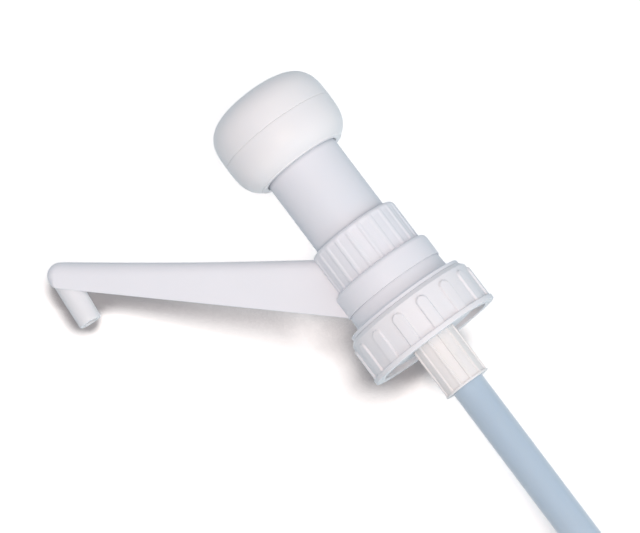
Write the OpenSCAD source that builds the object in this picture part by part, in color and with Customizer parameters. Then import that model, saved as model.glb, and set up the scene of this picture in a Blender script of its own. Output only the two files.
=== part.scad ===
// Jerrycan dosing pump: a hand pump on a screw cap, with a fixed spout arm.
// +Z runs up the pump, the spout points towards -X, and the origin is the
// centre of the plane where the can's neck seals.

/* [Screw cap] */
// Major diameter of the neck thread in the cap
thread_d = 51.4; // [50.8:0.1:53]
// Height of the thread's ridge
thread_h = 1.5; // [1:0.1:1.7]
// Pitch of the thread
thread_pitch = 6; // [5:0.5:7]
// Turns of the thread
thread_turns = 1.25; // [1:0.25:1.5]
// Width of the thread's ridge at its foot
thread_foot_w = 3; // [2.4:0.1:3.6]
// Width of the thread's ridge at its crest
thread_crest_w = 1.2; // [0.8:0.1:1.6]
// Overall height of the cap
cap_h = 20.2; // [19.5:0.1:24]
// Thickness of the cap's skirt
cap_wall = 3.1; // [2.2:0.1:4]
// Thickness of the cap's top
cap_top_t = 2.4; // [1.8:0.1:3.2]
// Radius of the cap's shoulder
cap_shoulder_r = 1.2; // [0.8:0.1:2]
// Number of grip ribs on the cap
cap_rib_count = 15; // [10:1:18]
// Width of a grip rib on the cap
cap_rib_w = 5.2; // [3:0.1:6]
// Height of a grip rib on the cap
cap_rib_h = 0.8; // [0.4:0.1:1.2]
// Distance from the cap's top down to the top of a grip rib
cap_rib_drop = 3.1; // [2.5:0.1:5]
// Height of the rim at the cap's foot
cap_rim_h = 2.2; // [1.6:0.1:3.2]
// How far the rim stands out of the skirt
cap_rim_w = 1.4; // [1.3:0.1:2.2]

/* [Neck seal] */
// Thickness of the neck gasket
gasket_t = 2; // [1.5:0.1:3]
// Outer diameter of the neck gasket
gasket_d = 46.8; // [45:0.1:47.2]

/* [Barrel] */
// Outer diameter of the plunger
plunger_d = 33; // [31:0.1:33.4]
// Gap round the plunger that the liquid flows through
flow_gap = 0.8; // [0.7:0.1:1]
// Wall of the barrel
barrel_wall = 1.5; // [1.3:0.1:1.7]
// Thickness of the barrel's floor
barrel_floor_t = 2.5; // [1.8:0.1:3.5]
// How far the barrel's floor hangs below the neck's sealing plane
barrel_reach = 11.5; // [10:0.5:12.5]
// Thickness of the barrel's flange ring under the cap
flange_t = 2.5; // [2:0.1:3.5]
// Step on the barrel that carries the swivel ring
journal_step = 0.4; // [0.3:0.1:0.5]

/* [Head] */
// Height of the swivel ring
ring_h = 8; // [5:0.1:9]
// Outer diameter of the swivel ring
ring_d = 45.4; // [43:0.1:46]
// Diameter of the swivel ring's thin foot flange
ring_flange_d = 54.2; // [50:0.2:55]
// Thickness of the swivel ring's foot flange
ring_flange_h = 1.3; // [1:0.1:2]
// Height of the housing
housing_h = 10.4; // [10:0.1:13]
// Outer diameter of the housing
housing_d = 46.2; // [46:0.1:48]
// Radius of the housing's shoulder
housing_shoulder_r = 2; // [1:0.1:2.3]
// Thickness of the two housing seals
housing_seal_d = 1; // [0.8:0.05:1.1]
// Room beside a housing seal in its groove
housing_seal_room = 0.1; // [0.05:0.01:0.2]
// Height of the gland nut
nut_h = 19.3; // [18:0.1:24]
// Wall of the gland nut
nut_wall = 1.15; // [0.9:0.05:1.3]
// Thickness of the gland nut's top
nut_top_t = 2.5; // [2:0.1:3.5]
// Radius of the gland nut's upper edge
nut_edge_r = 2; // [1:0.1:2.2]
// Number of grip ribs on the gland nut
nut_rib_count = 22; // [16:1:28]
// Width of a grip rib on the gland nut
nut_rib_w = 1.7; // [1:0.1:2.2]
// Height of a grip rib on the gland nut
nut_rib_h = 0.7; // [0.6:0.05:0.9]
// Height of the band at the gland nut's foot
nut_foot_h = 0.8; // [0.5:0.1:2]
// Height of the plunger seal
seal_h = 2.6; // [2:0.1:3.5]
// Height of the gland bush
bush_h = 1.8; // [1.2:0.1:2.4]

/* [Plunger] */
// Stroke of the plunger
stroke = 34; // [28:0.2:36]
// Wall of the plunger
plunger_wall = 2; // [1.6:0.1:2.4]
// Height of the plunger's closed floor above the neck's sealing plane
bulkhead_z = 58; // [50:0.5:62]
// Thickness of the plunger's closed floor
bulkhead_t = 2.5; // [2:0.1:3.5]
// Diameter of the screw boss in the plunger
boss_d = 9; // [7:0.5:12]
// Number of stop lugs on the plunger
lug_count = 4; // [3:1:6]
// Width of a stop lug
lug_w = 5; // [3:0.5:7]
// Height of a stop lug
lug_h = 3; // [2:0.5:5]
// Outer diameter of the return spring
spring_d = 20; // [18.4:0.1:21]
// Wire of the return spring
spring_wire = 1.6; // [1.2:0.1:1.8]
// Turns of the return spring
spring_turns = 12; // [9:1:14]
// Thickness of the spring washer
washer_t = 1.5; // [1:0.1:2.5]

/* [Knob] */
// Largest diameter of the knob
knob_d = 53; // [50:0.5:58]
// Height from the knob's lip to its widest place
knob_low_h = 16.9; // [16:0.1:17.5]
// Height from the knob's widest place to its crown
knob_high_h = 19.4; // [18.8:0.1:22]
// Squareness of the knob's outline
knob_power = 3.3; // [2.8:0.1:3.8]
// Wall of the knob
knob_wall = 2.2; // [1.8:0.1:2.6]
// Height of the knob's seam above its widest place
knob_seam_h = 0.2; // [0.1:0.1:2]
// Gap between the knob's lip and the plunger
knob_lip_gap = 0.9; // [0.5:0.1:1.4]
// Height of the knob's inner sleeve above its lip
knob_sleeve_lift = 6.6; // [4:0.2:7]
// Thickness of the web in the knob
knob_web_t = 2.5; // [2:0.1:3]
// Gap between the screw's head and the knob's seam
knob_head_gap = 0.4; // [0.2:0.1:0.8]
// Depth of the knob cap's skirt on each side of the seam
knob_skirt_h = 2.2; // [1.5:0.1:2.5]
// Shank diameter of the knob's screw
screw_d = 3.9; // [3:0.1:4.5]
// Head diameter of the knob's screw
screw_head_d = 7.6; // [6.5:0.1:9]
// Head height of the knob's screw
screw_head_h = 2.4; // [1.8:0.1:3]
// Width of the cross slot in the screw's head
screw_slot_w = 1.2; // [0.8:0.1:1.6]
// Length of the cross slot in the screw's head
screw_slot_len = 5; // [4:0.1:6]
// Length of the knob's screw under its head
screw_len = 18; // [12:1:24]

/* [Spout] */
// Distance of the spout's tip from the pump's axis
arm_reach = 110; // [90:1:130]
// Height of the spout's tip above the neck's sealing plane
arm_rise = 105.4; // [90:0.2:115]
// Radius of the spout's rounded tip
arm_tip_r = 5.4; // [5.2:0.1:6.5]
// Width of the spout arm
arm_w = 12.4; // [12:0.1:15]
// Wall of the spout arm
arm_wall = 1.6; // [1.4:0.1:1.8]
// Gap between the spout arm and the gland nut's ribs
arm_nut_gap = 0.4; // [0.3:0.1:0.8]
// Height of the arm's lower edge above the housing's foot
arm_toe = 0.7; // [0.4:0.1:1.2]
// Outer diameter of the nozzle at its mouth
nozzle_d = 9.6; // [9:0.1:10]
// Outer diameter that the nozzle's taper would reach at the centre of the spout's tip
nozzle_root_d = 11; // [10.2:0.1:11.6]
// Bore of the nozzle
nozzle_bore_d = 6; // [4.5:0.1:6.2]
// Wall of the nozzle's spigot in the arm
nozzle_spigot_wall = 0.8; // [0.6:0.05:0.9]
// Lean of the nozzle away from the pump's axis, in degrees
nozzle_lean = 4.5; // [0:0.5:10]
// Distance from the centre of the spout's tip to the top of the nozzle's spigot
nozzle_spigot_top = 2.7; // [1:0.1:3]
// Distance from the centre of the spout's tip to the nozzle's mouth
nozzle_drop = 23.2; // [18:0.2:30]

/* [Outlet valve] */
// Height of the outlet passage above the spout's floor
port_offset = 5.2; // [5.1:0.05:5.4]
// Diameter of the outlet port
port_d = 3.2; // [2.4:0.1:3.4]
// Outer diameter of the outlet spigot
spigot_d = 6.8; // [6.6:0.1:7]
// Length of the outlet spigot outside the housing
spigot_len = 4.2; // [4:0.1:5]
// Thickness of the spigot's seal
spout_seal_d = 0.9; // [0.8:0.05:1]
// Room on each side of the spigot's seal in its groove
spout_seal_room = 0.1; // [0.05:0.01:0.15]
// Land between the groove and the spigot's end
spigot_land = 0.7; // [0.6:0.1:1]
// Diameter of the outlet ball
outlet_ball_d = 5; // [4.4:0.1:5.2]
// Lift of the outlet ball
outlet_lift = 2; // [1:0.1:2.5]
// Thickness of the outlet seat
outlet_seat_t = 3; // [2.5:0.1:3.5]
// Width of the outlet seat's cone outside the ball's line of contact
outlet_cone_margin = 0.5; // [0.4:0.05:0.6]
// Thickness of the outlet ball's stop
outlet_stop_t = 2; // [1.5:0.1:3]
// Width of the ring and of the bars of the outlet ball's stop
outlet_stop_w = 0.8; // [0.6:0.05:1]
// Length of the valve's bore past the outlet ball's stop
valve_tube_tail = 1.5; // [1:0.1:3]

/* [Inlet valve] */
// Diameter of the inlet ball
inlet_ball_d = 10; // [9:0.1:10.6]
// Lift of the inlet ball
inlet_lift = 3.5; // [2:0.1:4]
// Bore of the stub round the inlet ball
stub_bore_d = 13.2; // [12.4:0.1:13.4]
// Wall of the stub
stub_wall = 1.7; // [1.2:0.1:1.8]
// Length of the stub below the barrel's floor
stub_len = 9; // [8.8:0.1:12]
// Thickness of the inlet gasket
inlet_gasket_t = 1; // [0.6:0.1:1.5]
// Thickness of the inlet seat
inlet_seat_t = 2.5; // [2.2:0.1:3]
// Width of the inlet seat's cone outside the ball's line of contact
inlet_cone_margin = 1; // [0.8:0.1:1.2]
// Width of a seat's cone inside the ball's line of contact
seat_land = 0.35; // [0.3:0.05:0.5]
// Thickness of the inlet ball's cage
cage_t = 1.5; // [1:0.1:2]
// Width of the cage's rim outside the spring
cage_rim_w = 1.5; // [1:0.1:2]
// Width of the cage's bars
cage_bar_w = 2.1; // [1.5:0.1:2.6]
// Diameter of the cage's post over the inlet ball
cage_post_d = 3.4; // [2.8:0.1:4]
// Outer diameter of the valve housing without its ribs
sleeve_d = 19.4; // [19:0.1:20]
// Number of ribs on the valve housing
sleeve_rib_count = 12; // [8:1:16]
// Width of a rib on the valve housing
sleeve_rib_w = 1.1; // [0.8:0.1:1.6]
// Height of a rib on the valve housing
sleeve_rib_h = 0.7; // [0.4:0.05:1]
// Height of the plain band at the valve housing's foot
sleeve_foot_band_h = 1; // [0.6:0.1:2]
// Height of the plain band at the valve housing's top
sleeve_top_band_h = 1; // [0.6:0.1:3]
// Thickness of the shoulder over the dip tube
sleeve_shoulder_t = 1.5; // [1:0.1:2]
// Depth of the dip tube's socket
tube_socket_h = 9.6; // [6:0.1:12]

/* [Dip tube] */
// Outer diameter of the dip tube
tube_d = 14.5; // [13.6:0.1:15]
// Wall of the dip tube
tube_wall = 1.25; // [0.8:0.05:1.6]
// Length of the dip tube
tube_len = 225; // [120:5:400]
// Slant of the dip tube's foot, in degrees
tube_slant = 30; // [0:5:45]

/* [Fits] */
// Radial gap of the plunger in its bush
running_gap = 0.05; // [0.03:0.01:0.08]
// Radial gap of the plunger in its seal
seal_gap = 0.1; // [0.06:0.01:0.12]
// Radial gap of parts that slip together once
slip_gap = 0.05; // [0.03:0.01:0.1]
// Gap where the cap turns on the pump
swivel_gap = 0.3; // [0.2:0.05:0.5]
// Gap left between the knob and the gland nut at the end of the stroke
stroke_end_gap = 0.6; // [0.4:0.1:1.5]
// Gap left under the plunger at the end of the stroke
floor_gap = 1.1; // [0.6:0.1:2]
// Gap between a ball and its seat or stop
ball_gap = 0.1; // [0.05:0.01:0.15]

/* [Hidden] */
$fn = 96;
// Overlap of cuts past the faces that they open
cut = 1;
// Rings on one turn of the spring and of the thread, and sides of the wire
spring_rings = 8;
thread_rings = 36;
wire_sides = 6;
// Rings in which the thread fades out, what is left of its height there, and its root in the skirt
runout_rings = 6;
runout_share = 0.1;
thread_root = 0.6;
// Least gap between the spring's turns
spring_least_gap = 0.4;
// How far the arm's side view runs into the head before it is cut
arm_root = 7;

// Radii
plunger_r = plunger_d / 2;
barrel_r = plunger_r + flow_gap;
barrel_out_r = barrel_r + barrel_wall;
journal_r = barrel_out_r + journal_step;
thread_r = thread_d / 2;
cap_r = thread_r + cap_wall;
housing_r = housing_d / 2;
housing_bore_r = barrel_out_r + slip_gap * 2;
nut_r = housing_bore_r + nut_wall;
nut_rib_r = nut_r + nut_rib_h;
nut_clear_r = nut_rib_r + arm_nut_gap;
knob_r = knob_d / 2;
spring_r = (spring_d - spring_wire) / 2;
stub_r = stub_bore_d / 2 + stub_wall;
sleeve_r = sleeve_d / 2;
tube_r = tube_d / 2;

// Heights, from the neck's sealing plane up
flange_top_z = gasket_t + flange_t;
cap_under_z = flange_top_z + swivel_gap;
cap_top_z = cap_under_z + cap_top_t;
cap_foot_z = cap_top_z - cap_h;
ring_z = cap_top_z + swivel_gap;
housing_z = ring_z + ring_h;
nut_z = housing_z + housing_h;
nut_top_z = nut_z + nut_h;
seal_z = nut_top_z - nut_top_t - seal_h;
barrel_top_z = seal_z - bush_h;
floor_z = barrel_floor_t - barrel_reach;
plunger_foot_z = floor_z + floor_gap + stroke;
knob_lip_z = nut_top_z + stroke_end_gap + stroke;
knob_mid_z = knob_lip_z + knob_low_h;
knob_seam_z = knob_mid_z + knob_seam_h;
knob_web_z = knob_seam_z - knob_web_t - screw_head_h - knob_head_gap;
spring_foot_z = floor_z + cage_t;
spring_head_z = bulkhead_z - washer_t;

// Heights, from the barrel's floor down
stub_foot_z = -barrel_reach - stub_len;
inlet_seat_z = stub_foot_z - inlet_gasket_t - inlet_seat_t;
tube_top_z = inlet_seat_z - sleeve_shoulder_t;
sleeve_foot_z = tube_top_z - tube_socket_h;

// A ball on a 45 degree cone touches it on this share of its radius
cone_share = sqrt(0.5);
inlet_ball_r = inlet_ball_d / 2;
inlet_cone_r = inlet_ball_r * cone_share + inlet_cone_margin;
inlet_ball_z = inlet_seat_z + inlet_seat_t - inlet_cone_r + inlet_ball_r * 2 * cone_share + ball_gap;
inlet_stop_z = inlet_ball_z + inlet_ball_r + inlet_lift + ball_gap;
outlet_ball_r = outlet_ball_d / 2;
outlet_cone_r = outlet_ball_r * cone_share + outlet_cone_margin;
outlet_seat_s = spigot_len + ball_gap;
outlet_ball_s = outlet_seat_s + outlet_seat_t - outlet_cone_r + outlet_ball_r * 2 * cone_share + ball_gap;
outlet_stop_s = outlet_ball_s + outlet_ball_r + outlet_lift + ball_gap;
valve_tube_len = outlet_stop_s + outlet_stop_t + valve_tube_tail;
valve_bore_r = spigot_d / 2 + slip_gap;

// Side view of the spout arm, as [distance from the axis, height]
tip = [arm_reach, arm_rise];
toe = [housing_r, housing_z + arm_toe];
heel = [nut_clear_r, nut_top_z];
function bearing(a, b) = atan2(b[1] - a[1], b[0] - a[0]);
function tangent_turn(a) = asin(arm_tip_r / norm(tip - a));
floor_angle = bearing(toe, tip) - tangent_turn(toe);
crown_angle = bearing(heel, tip) + tangent_turn(heel);
floor_side = [-sin(floor_angle), cos(floor_angle)];
crown_side = [-sin(crown_angle), cos(crown_angle)];
port_z = toe[1] + port_offset / cos(floor_angle);

// Shared shapes

// Upright disc or rod between two heights
module rod(r, z0, z1) {
    translate([0, 0, z0]) cylinder(r = r, h = z1 - z0);
}

// Upright tube between two heights
module pipe(r_out, r_in, z0, z1) {
    difference() {
        rod(r_out, z0, z1);
        rod(r_in, z0 - cut, z1 + cut);
    }
}

// Upright disc with a rounded upper edge
module rounded_disc(r, z0, z1, edge) {
    rotate_extrude() {
        translate([0, z0]) square([r, z1 - z0 - edge]);
        translate([0, z0]) square([r - edge, z1 - z0]);
        intersection() {
            translate([r - edge, z1 - edge]) circle(edge);
            translate([0, z0]) square([r, z1 - z0]);
        }
    }
}

// Ring with a round section
module o_ring(r, section) {
    rotate_extrude() translate([r, 0]) circle(section / 2, $fn = 32);
}

// Straight grip ribs round the axis, with square or half-round upper ends
module ribs(count, w, r_in, r_out, z0, z1, round_end = 0) {
    intersection() {
        rod(r_out, z0, z1 + round_end);
        for (i = [0 : count - 1])
            rotate(360 / count * i) translate([r_in, 0, 0]) rotate([90, 0, 90]) linear_extrude(r_out) {
                translate([-w / 2, z0]) square([w, z1 - z0 - round_end]);
                if (round_end > 0)
                    translate([0, z1 - round_end]) circle(round_end);
            }
    }
}

// Disc with a 45 degree cone that a ball closes on
module ball_seat(r_out, t, cone_r, bore_r) {
    difference() {
        cylinder(r = r_out, h = t);
        translate([0, 0, -cut]) cylinder(r = bore_r, h = t + 2 * cut);
        translate([0, 0, t - cone_r]) cylinder(r1 = 0, r2 = cone_r + cut, h = cone_r + cut);
    }
}

// Two bars that cross inside a ring
module cross_bars(r, w, t) {
    for (turn = [0, 90])
        rotate(turn) translate([-r, -w / 2, 0]) cube([2 * r, w, t]);
}

// Solid swept through a list of rings with the same number of points
module sweep(rings) {
    n = len(rings[0]);
    last = len(rings) - 1;
    sides = [for (i = [0 : last - 1], j = [0 : n - 1])
        let (a = i * n + j, b = i * n + (j + 1) % n)
        each [[a, b, b + n], [a, b + n, a + n]]];
    ends = [for (j = [1 : n - 2]) each [[0, j + 1, j], [last * n, last * n + j, last * n + j + 1]]];
    polyhedron([for (ring = rings) each ring], concat(sides, ends));
}

// Moves a shape from the pump's axis to the outlet passage, with +Z along it
module along_outlet() {
    translate([-housing_r, 0, port_z]) rotate([0, floor_angle - 90, 0]) children();
}

// Moves a shape from +Z to the nozzle's axis, measured down from the tip's centre
module along_nozzle() {
    translate([-arm_reach, 0, arm_rise]) rotate([0, 180 + nozzle_lean, 0]) children();
}

// Screw cap and neck seal

function thread_ring(turn, grow) =
    let (z = cap_foot_z + cap_rim_h + thread_foot_w / 2 + thread_pitch * turn,
        foot = thread_foot_w / 2,
        crest = thread_crest_w / 2,
        deep = thread_r - thread_h * grow,
        root = thread_r + thread_root,
        a = 360 * turn)
    [for (p = [[root, -foot], [root, foot], [deep, crest], [deep, -crest]])
        [p[0] * cos(a), p[0] * sin(a), z + p[1]]];

module neck_thread() {
    count = thread_turns * thread_rings;
    sweep([for (i = [0 : count])
        let (grow = min(1, i / runout_rings, (count - i) / runout_rings))
        thread_ring(i / thread_rings, max(runout_share, grow))]);
}

module screw_cap() {
    color("white") {
        difference() {
            union() {
                rounded_disc(cap_r, cap_foot_z, cap_top_z, cap_shoulder_r);
                rod(cap_r + cap_rim_w, cap_foot_z, cap_foot_z + cap_rim_h);
                ribs(cap_rib_count, cap_rib_w, cap_r - cap_wall / 2, cap_r + cap_rib_h,
                    cap_foot_z, cap_top_z - cap_rib_drop, cap_rib_w / 2);
            }
            rod(thread_r, cap_foot_z - cut, cap_under_z);
            rod(journal_r + swivel_gap, cap_foot_z, cap_top_z + cut);
        }
        neck_thread();
    }
}

module cap_gasket() {
    color("dimgray") pipe(gasket_d / 2, barrel_out_r + swivel_gap, 0, gasket_t);
}

// Barrel

module barrel() {
    color("white") difference() {
        union() {
            rod(barrel_out_r, -barrel_reach, barrel_top_z);
            rod(journal_r, gasket_t, ring_z);
            rod(stub_r, stub_foot_z, -barrel_reach + cut);
        }
        rod(barrel_r, floor_z, barrel_top_z + cut);
        rod(stub_bore_d / 2, stub_foot_z - cut, floor_z + cut);
        along_outlet() rod(port_d / 2, -2 * (housing_r - barrel_r), 0);
    }
}

// Ring on the barrel that hangs the pump under the cap and presses on the gasket
module barrel_flange() {
    color("white") pipe(gasket_d / 2, journal_r + slip_gap, gasket_t, flange_top_z);
}

// Head

module swivel_ring() {
    color("white") difference() {
        union() {
            rod(ring_d / 2, ring_z, housing_z);
            rod(ring_flange_d / 2, ring_z, ring_z + ring_flange_h);
        }
        rod(barrel_out_r + slip_gap, ring_z - cut, housing_z + cut);
    }
}

// Groove at each end of the housing's bore that takes a seal
seal_groove_r = barrel_out_r + slip_gap + housing_seal_d + housing_seal_room;
seal_groove_h = slip_gap + housing_seal_d + housing_seal_room;

module housing() {
    color("white") difference() {
        union() {
            rounded_disc(housing_r, housing_z, nut_z, housing_shoulder_r);
            difference() {
                along_outlet() rod(spigot_d / 2, -housing_r, spigot_len);
                rod(housing_r - arm_wall, 0, nut_top_z);
            }
        }
        rod(housing_bore_r, housing_z - cut, nut_z + cut);
        rod(seal_groove_r, housing_z - cut, housing_z + seal_groove_h);
        rod(seal_groove_r, nut_z - seal_groove_h, nut_z + cut);
        along_outlet() rod(port_d / 2, -housing_r, spigot_len + cut);
        along_outlet() spigot_groove();
    }
}

// Groove near the spigot's end that takes the spout's seal
spout_seal_r = spigot_d / 2 - spout_seal_d / 2;
spigot_groove_half = spout_seal_d / 2 + spout_seal_room;
spout_seal_s = spigot_len - spigot_land - spigot_groove_half;

module spigot_groove() {
    pipe(spigot_d, spout_seal_r - spout_seal_d / 2 - slip_gap,
        spout_seal_s - spigot_groove_half, spout_seal_s + spigot_groove_half);
}

module housing_o_rings() {
    r = barrel_out_r + slip_gap + housing_seal_d / 2;
    lift = housing_seal_d / 2 + slip_gap;
    color("dimgray") for (z = [housing_z + lift, nut_z - lift])
        translate([0, 0, z]) o_ring(r, housing_seal_d);
}

module gland_nut() {
    color("white") difference() {
        union() {
            rounded_disc(nut_r, nut_z, nut_top_z, nut_edge_r);
            rod(nut_rib_r, nut_z, nut_z + nut_foot_h);
            intersection() {
                ribs(nut_rib_count, nut_rib_w, nut_r - nut_wall / 2, nut_rib_r, nut_z, nut_top_z);
                rounded_disc(nut_rib_r, nut_z, nut_top_z, nut_edge_r);
            }
        }
        rod(housing_bore_r, nut_z - cut, nut_top_z - nut_top_t);
        rod(plunger_r + swivel_gap, nut_z, nut_top_z + cut);
    }
}

module gland_bush() {
    color("gainsboro") pipe(barrel_out_r, plunger_r + running_gap, barrel_top_z, seal_z);
}

module plunger_seal() {
    color("dimgray") pipe(barrel_out_r, plunger_r + seal_gap, seal_z, seal_z + seal_h);
}

// Plunger and knob

module plunger_tube() {
    lug_top = barrel_top_z - running_gap;
    color("white") {
        difference() {
            rod(plunger_r, plunger_foot_z, knob_web_z);
            rod(plunger_r - plunger_wall, plunger_foot_z - cut, bulkhead_z);
            pipe(plunger_r - plunger_wall, boss_d / 2, bulkhead_z + bulkhead_t, knob_web_z + cut);
            rod(screw_d / 2 + slip_gap, knob_web_z - screw_len, knob_web_z + cut);
        }
        intersection() {
            pipe(barrel_r - swivel_gap, plunger_r - plunger_wall / 2, lug_top - lug_h, lug_top);
            for (i = [0 : lug_count - 1])
                rotate(360 / lug_count * i)
                    translate([0, -lug_w / 2, lug_top - lug_h]) cube([barrel_r, lug_w, lug_h]);
        }
    }
}

module spring_washer() {
    color("gainsboro") pipe(plunger_r - plunger_wall - swivel_gap, spring_r - spring_wire,
        spring_head_z, bulkhead_z);
}

// Middle line of the spring, from its foot to its head
spring_steps = spring_turns * spring_rings;
spring_rise = spring_head_z - spring_foot_z - spring_wire - 2 * slip_gap;
function spring_point(i) =
    let (a = 360 * i / spring_rings)
    [spring_r * cos(a), spring_r * sin(a),
        spring_foot_z + slip_gap + spring_wire / 2 + spring_rise * i / spring_steps];
function spring_ring(i) =
    let (p = spring_point(i), a = 360 * i / spring_rings)
    [for (k = [0 : wire_sides - 1])
        let (b = -360 * k / wire_sides, out = spring_wire / 2 * cos(b))
        p + [out * cos(a), out * sin(a), spring_wire / 2 * sin(b)]];
spring_gaps = [for (i = [0 : spring_rings], j = [i + spring_rings / 2 : spring_rings * 2])
    norm(spring_point(i) - spring_point(j)) - spring_wire];
echo(str("Least gap of the spring to itself, mm: ", min(spring_gaps)));
assert(min(spring_gaps) > spring_least_gap, "The spring's turns are too close");

module return_spring() {
    color("silver") sweep([for (i = [0 : spring_steps]) spring_ring(i)]);
}

// Outline of the knob, pulled in by its wall where asked
knob_steps = 24;
function knob_point(t, inset) =
    [(knob_r - inset) * pow(max(0, cos(t)), 2 / knob_power),
        knob_mid_z + sign(t) * (knob_high_h - inset) * pow(abs(sin(t)), 2 / knob_power)];
module knob_solid(inset) {
    rotate_extrude()
        polygon([for (i = [-knob_steps : knob_steps]) knob_point(90 * i / knob_steps, inset)]);
}

module knob_base() {
    sleeve_bore_r = plunger_r + slip_gap;
    color("white") {
        difference() {
            intersection() {
                knob_solid(0);
                rod(knob_d, knob_lip_z, knob_seam_z);
            }
            intersection() {
                knob_solid(knob_wall);
                rod(knob_d, knob_lip_z + knob_wall, knob_seam_z + cut);
            }
            rod(plunger_r + knob_lip_gap, knob_lip_z - cut, knob_lip_z + knob_wall + cut);
        }
        pipe(sleeve_bore_r + knob_wall, sleeve_bore_r, knob_lip_z + knob_sleeve_lift, knob_web_z);
        difference() {
            intersection() {
                rod(knob_d, knob_web_z, knob_web_z + knob_web_t);
                knob_solid(knob_wall / 2);
            }
            rod(screw_d / 2 + swivel_gap, knob_web_z - cut, knob_web_z + knob_web_t + cut);
        }
    }
}

module knob_cap() {
    skirt_r = knob_r - knob_wall - slip_gap;
    color("white") {
        difference() {
            intersection() {
                knob_solid(0);
                rod(knob_d, knob_seam_z, knob_seam_z + knob_high_h);
            }
            knob_solid(knob_wall);
        }
        intersection() {
            knob_solid(knob_wall + slip_gap);
            pipe(skirt_r, skirt_r - knob_wall, knob_seam_z - knob_skirt_h, knob_seam_z);
        }
        intersection() {
            knob_solid(knob_wall / 2);
            pipe(knob_r, skirt_r - knob_wall, knob_seam_z, knob_seam_z + knob_skirt_h);
        }
    }
}

module knob_screw() {
    head_z = knob_web_z + knob_web_t;
    slot_z = head_z + screw_head_h / 2;
    color("silver") difference() {
        union() {
            rod(screw_d / 2, head_z - screw_len, slot_z);
            rod(screw_head_d / 2, head_z, head_z + screw_head_h);
        }
        translate([0, 0, slot_z]) cross_bars(screw_slot_len / 2, screw_slot_w, screw_head_h);
    }
}

// Spout

// Side view of the arm, pulled in by its wall where asked
module arm_side(inset) {
    r = arm_tip_r - inset;
    low = toe + inset * floor_side;
    high = heel - inset * crown_side;
    inner = [arm_root, 0];
    polygon([low - inner, low, tip - r * floor_side, tip + r * crown_side, high, high - inner]);
    translate(tip) circle(r);
}

// Arm as a solid with flat sides and a round crown
module arm_solid(inset) {
    half = arm_w / 2 - inset;
    long = arm_reach + arm_rise;
    intersection() {
        mirror([1, 0, 0]) rotate([90, 0, 0])
            linear_extrude(arm_w - 2 * inset, center = true) arm_side(inset);
        translate([-arm_reach, 0, arm_rise]) rotate([0, crown_angle, 0])
            translate([-arm_w, 0, arm_tip_r - inset - half]) rotate([90, 0, 90]) linear_extrude(long) {
                circle(half);
                translate([-half, -long]) square([2 * half, long]);
            }
    }
}

module spout_arm() {
    color("white") difference() {
        arm_solid(0);
        difference() {
            arm_solid(arm_wall);
            rod(housing_r + arm_wall, 0, arm_rise);
            along_outlet() rod(valve_bore_r + arm_wall, -housing_r, valve_tube_len);
        }
        rod(housing_r, 0, nut_z);
        rod(nut_clear_r, nut_z - cut, arm_rise);
        along_outlet() rod(valve_bore_r, -housing_r, valve_tube_len + cut);
        along_nozzle() rod(nozzle_bore_d / 2 + nozzle_spigot_wall + slip_gap, 0, nozzle_drop);
    }
}

module spout_o_ring() {
    color("dimgray") along_outlet() translate([0, 0, spout_seal_s]) o_ring(spout_seal_r, spout_seal_d);
}

module nozzle() {
    color("white") difference() {
        union() {
            difference() {
                along_nozzle() cylinder(h = nozzle_drop, d1 = nozzle_root_d, d2 = nozzle_d);
                translate([-arm_reach, 0, arm_rise]) rotate([0, floor_angle, 0])
                    translate([-nozzle_drop, -nozzle_root_d, -arm_tip_r])
                        cube([2 * nozzle_drop, 2 * nozzle_root_d, nozzle_drop]);
            }
            along_nozzle()
                rod(nozzle_bore_d / 2 + nozzle_spigot_wall, nozzle_spigot_top, nozzle_drop - cut);
        }
        along_nozzle() rod(nozzle_bore_d / 2, 0, nozzle_drop + cut);
    }
}

// Outlet valve

module outlet_seat() {
    color("gainsboro") along_outlet() translate([0, 0, outlet_seat_s])
        ball_seat(spigot_d / 2, outlet_seat_t, outlet_cone_r, outlet_ball_r * cone_share - seat_land);
}

module outlet_ball() {
    color("silver") along_outlet() translate([0, 0, outlet_ball_s]) sphere(outlet_ball_r);
}

module outlet_ball_stop() {
    stop_r = spigot_d / 2;
    color("gainsboro") along_outlet() {
        pipe(stop_r, stop_r - outlet_stop_w, outlet_stop_s, outlet_stop_s + outlet_stop_t);
        intersection() {
            rod(stop_r - outlet_stop_w / 2, outlet_stop_s, outlet_stop_s + outlet_stop_t);
            translate([0, 0, outlet_stop_s]) cross_bars(spigot_d, outlet_stop_w, outlet_stop_t);
        }
    }
}

// Inlet valve and dip tube

module valve_housing() {
    top_z = -barrel_reach;
    rib_r = sleeve_r + sleeve_rib_h;
    color("white") difference() {
        union() {
            rod(sleeve_r, sleeve_foot_z, top_z);
            rod(rib_r, sleeve_foot_z, sleeve_foot_z + sleeve_foot_band_h);
            rod(rib_r, top_z - sleeve_top_band_h, top_z);
            ribs(sleeve_rib_count, sleeve_rib_w, sleeve_r - sleeve_rib_h, rib_r, sleeve_foot_z, top_z);
        }
        rod(stub_r + slip_gap, inlet_seat_z, top_z + cut);
        rod(tube_r + slip_gap, sleeve_foot_z - cut, tube_top_z);
        rod(tube_r - tube_wall, sleeve_foot_z, top_z);
    }
}

module inlet_gasket() {
    color("dimgray") pipe(stub_r, stub_bore_d / 2, stub_foot_z - inlet_gasket_t, stub_foot_z);
}

module inlet_seat() {
    color("gainsboro") translate([0, 0, inlet_seat_z])
        ball_seat(stub_r, inlet_seat_t, inlet_cone_r, inlet_ball_r * cone_share - seat_land);
}

module inlet_ball() {
    color("silver") translate([0, 0, inlet_ball_z]) sphere(inlet_ball_r);
}

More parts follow.
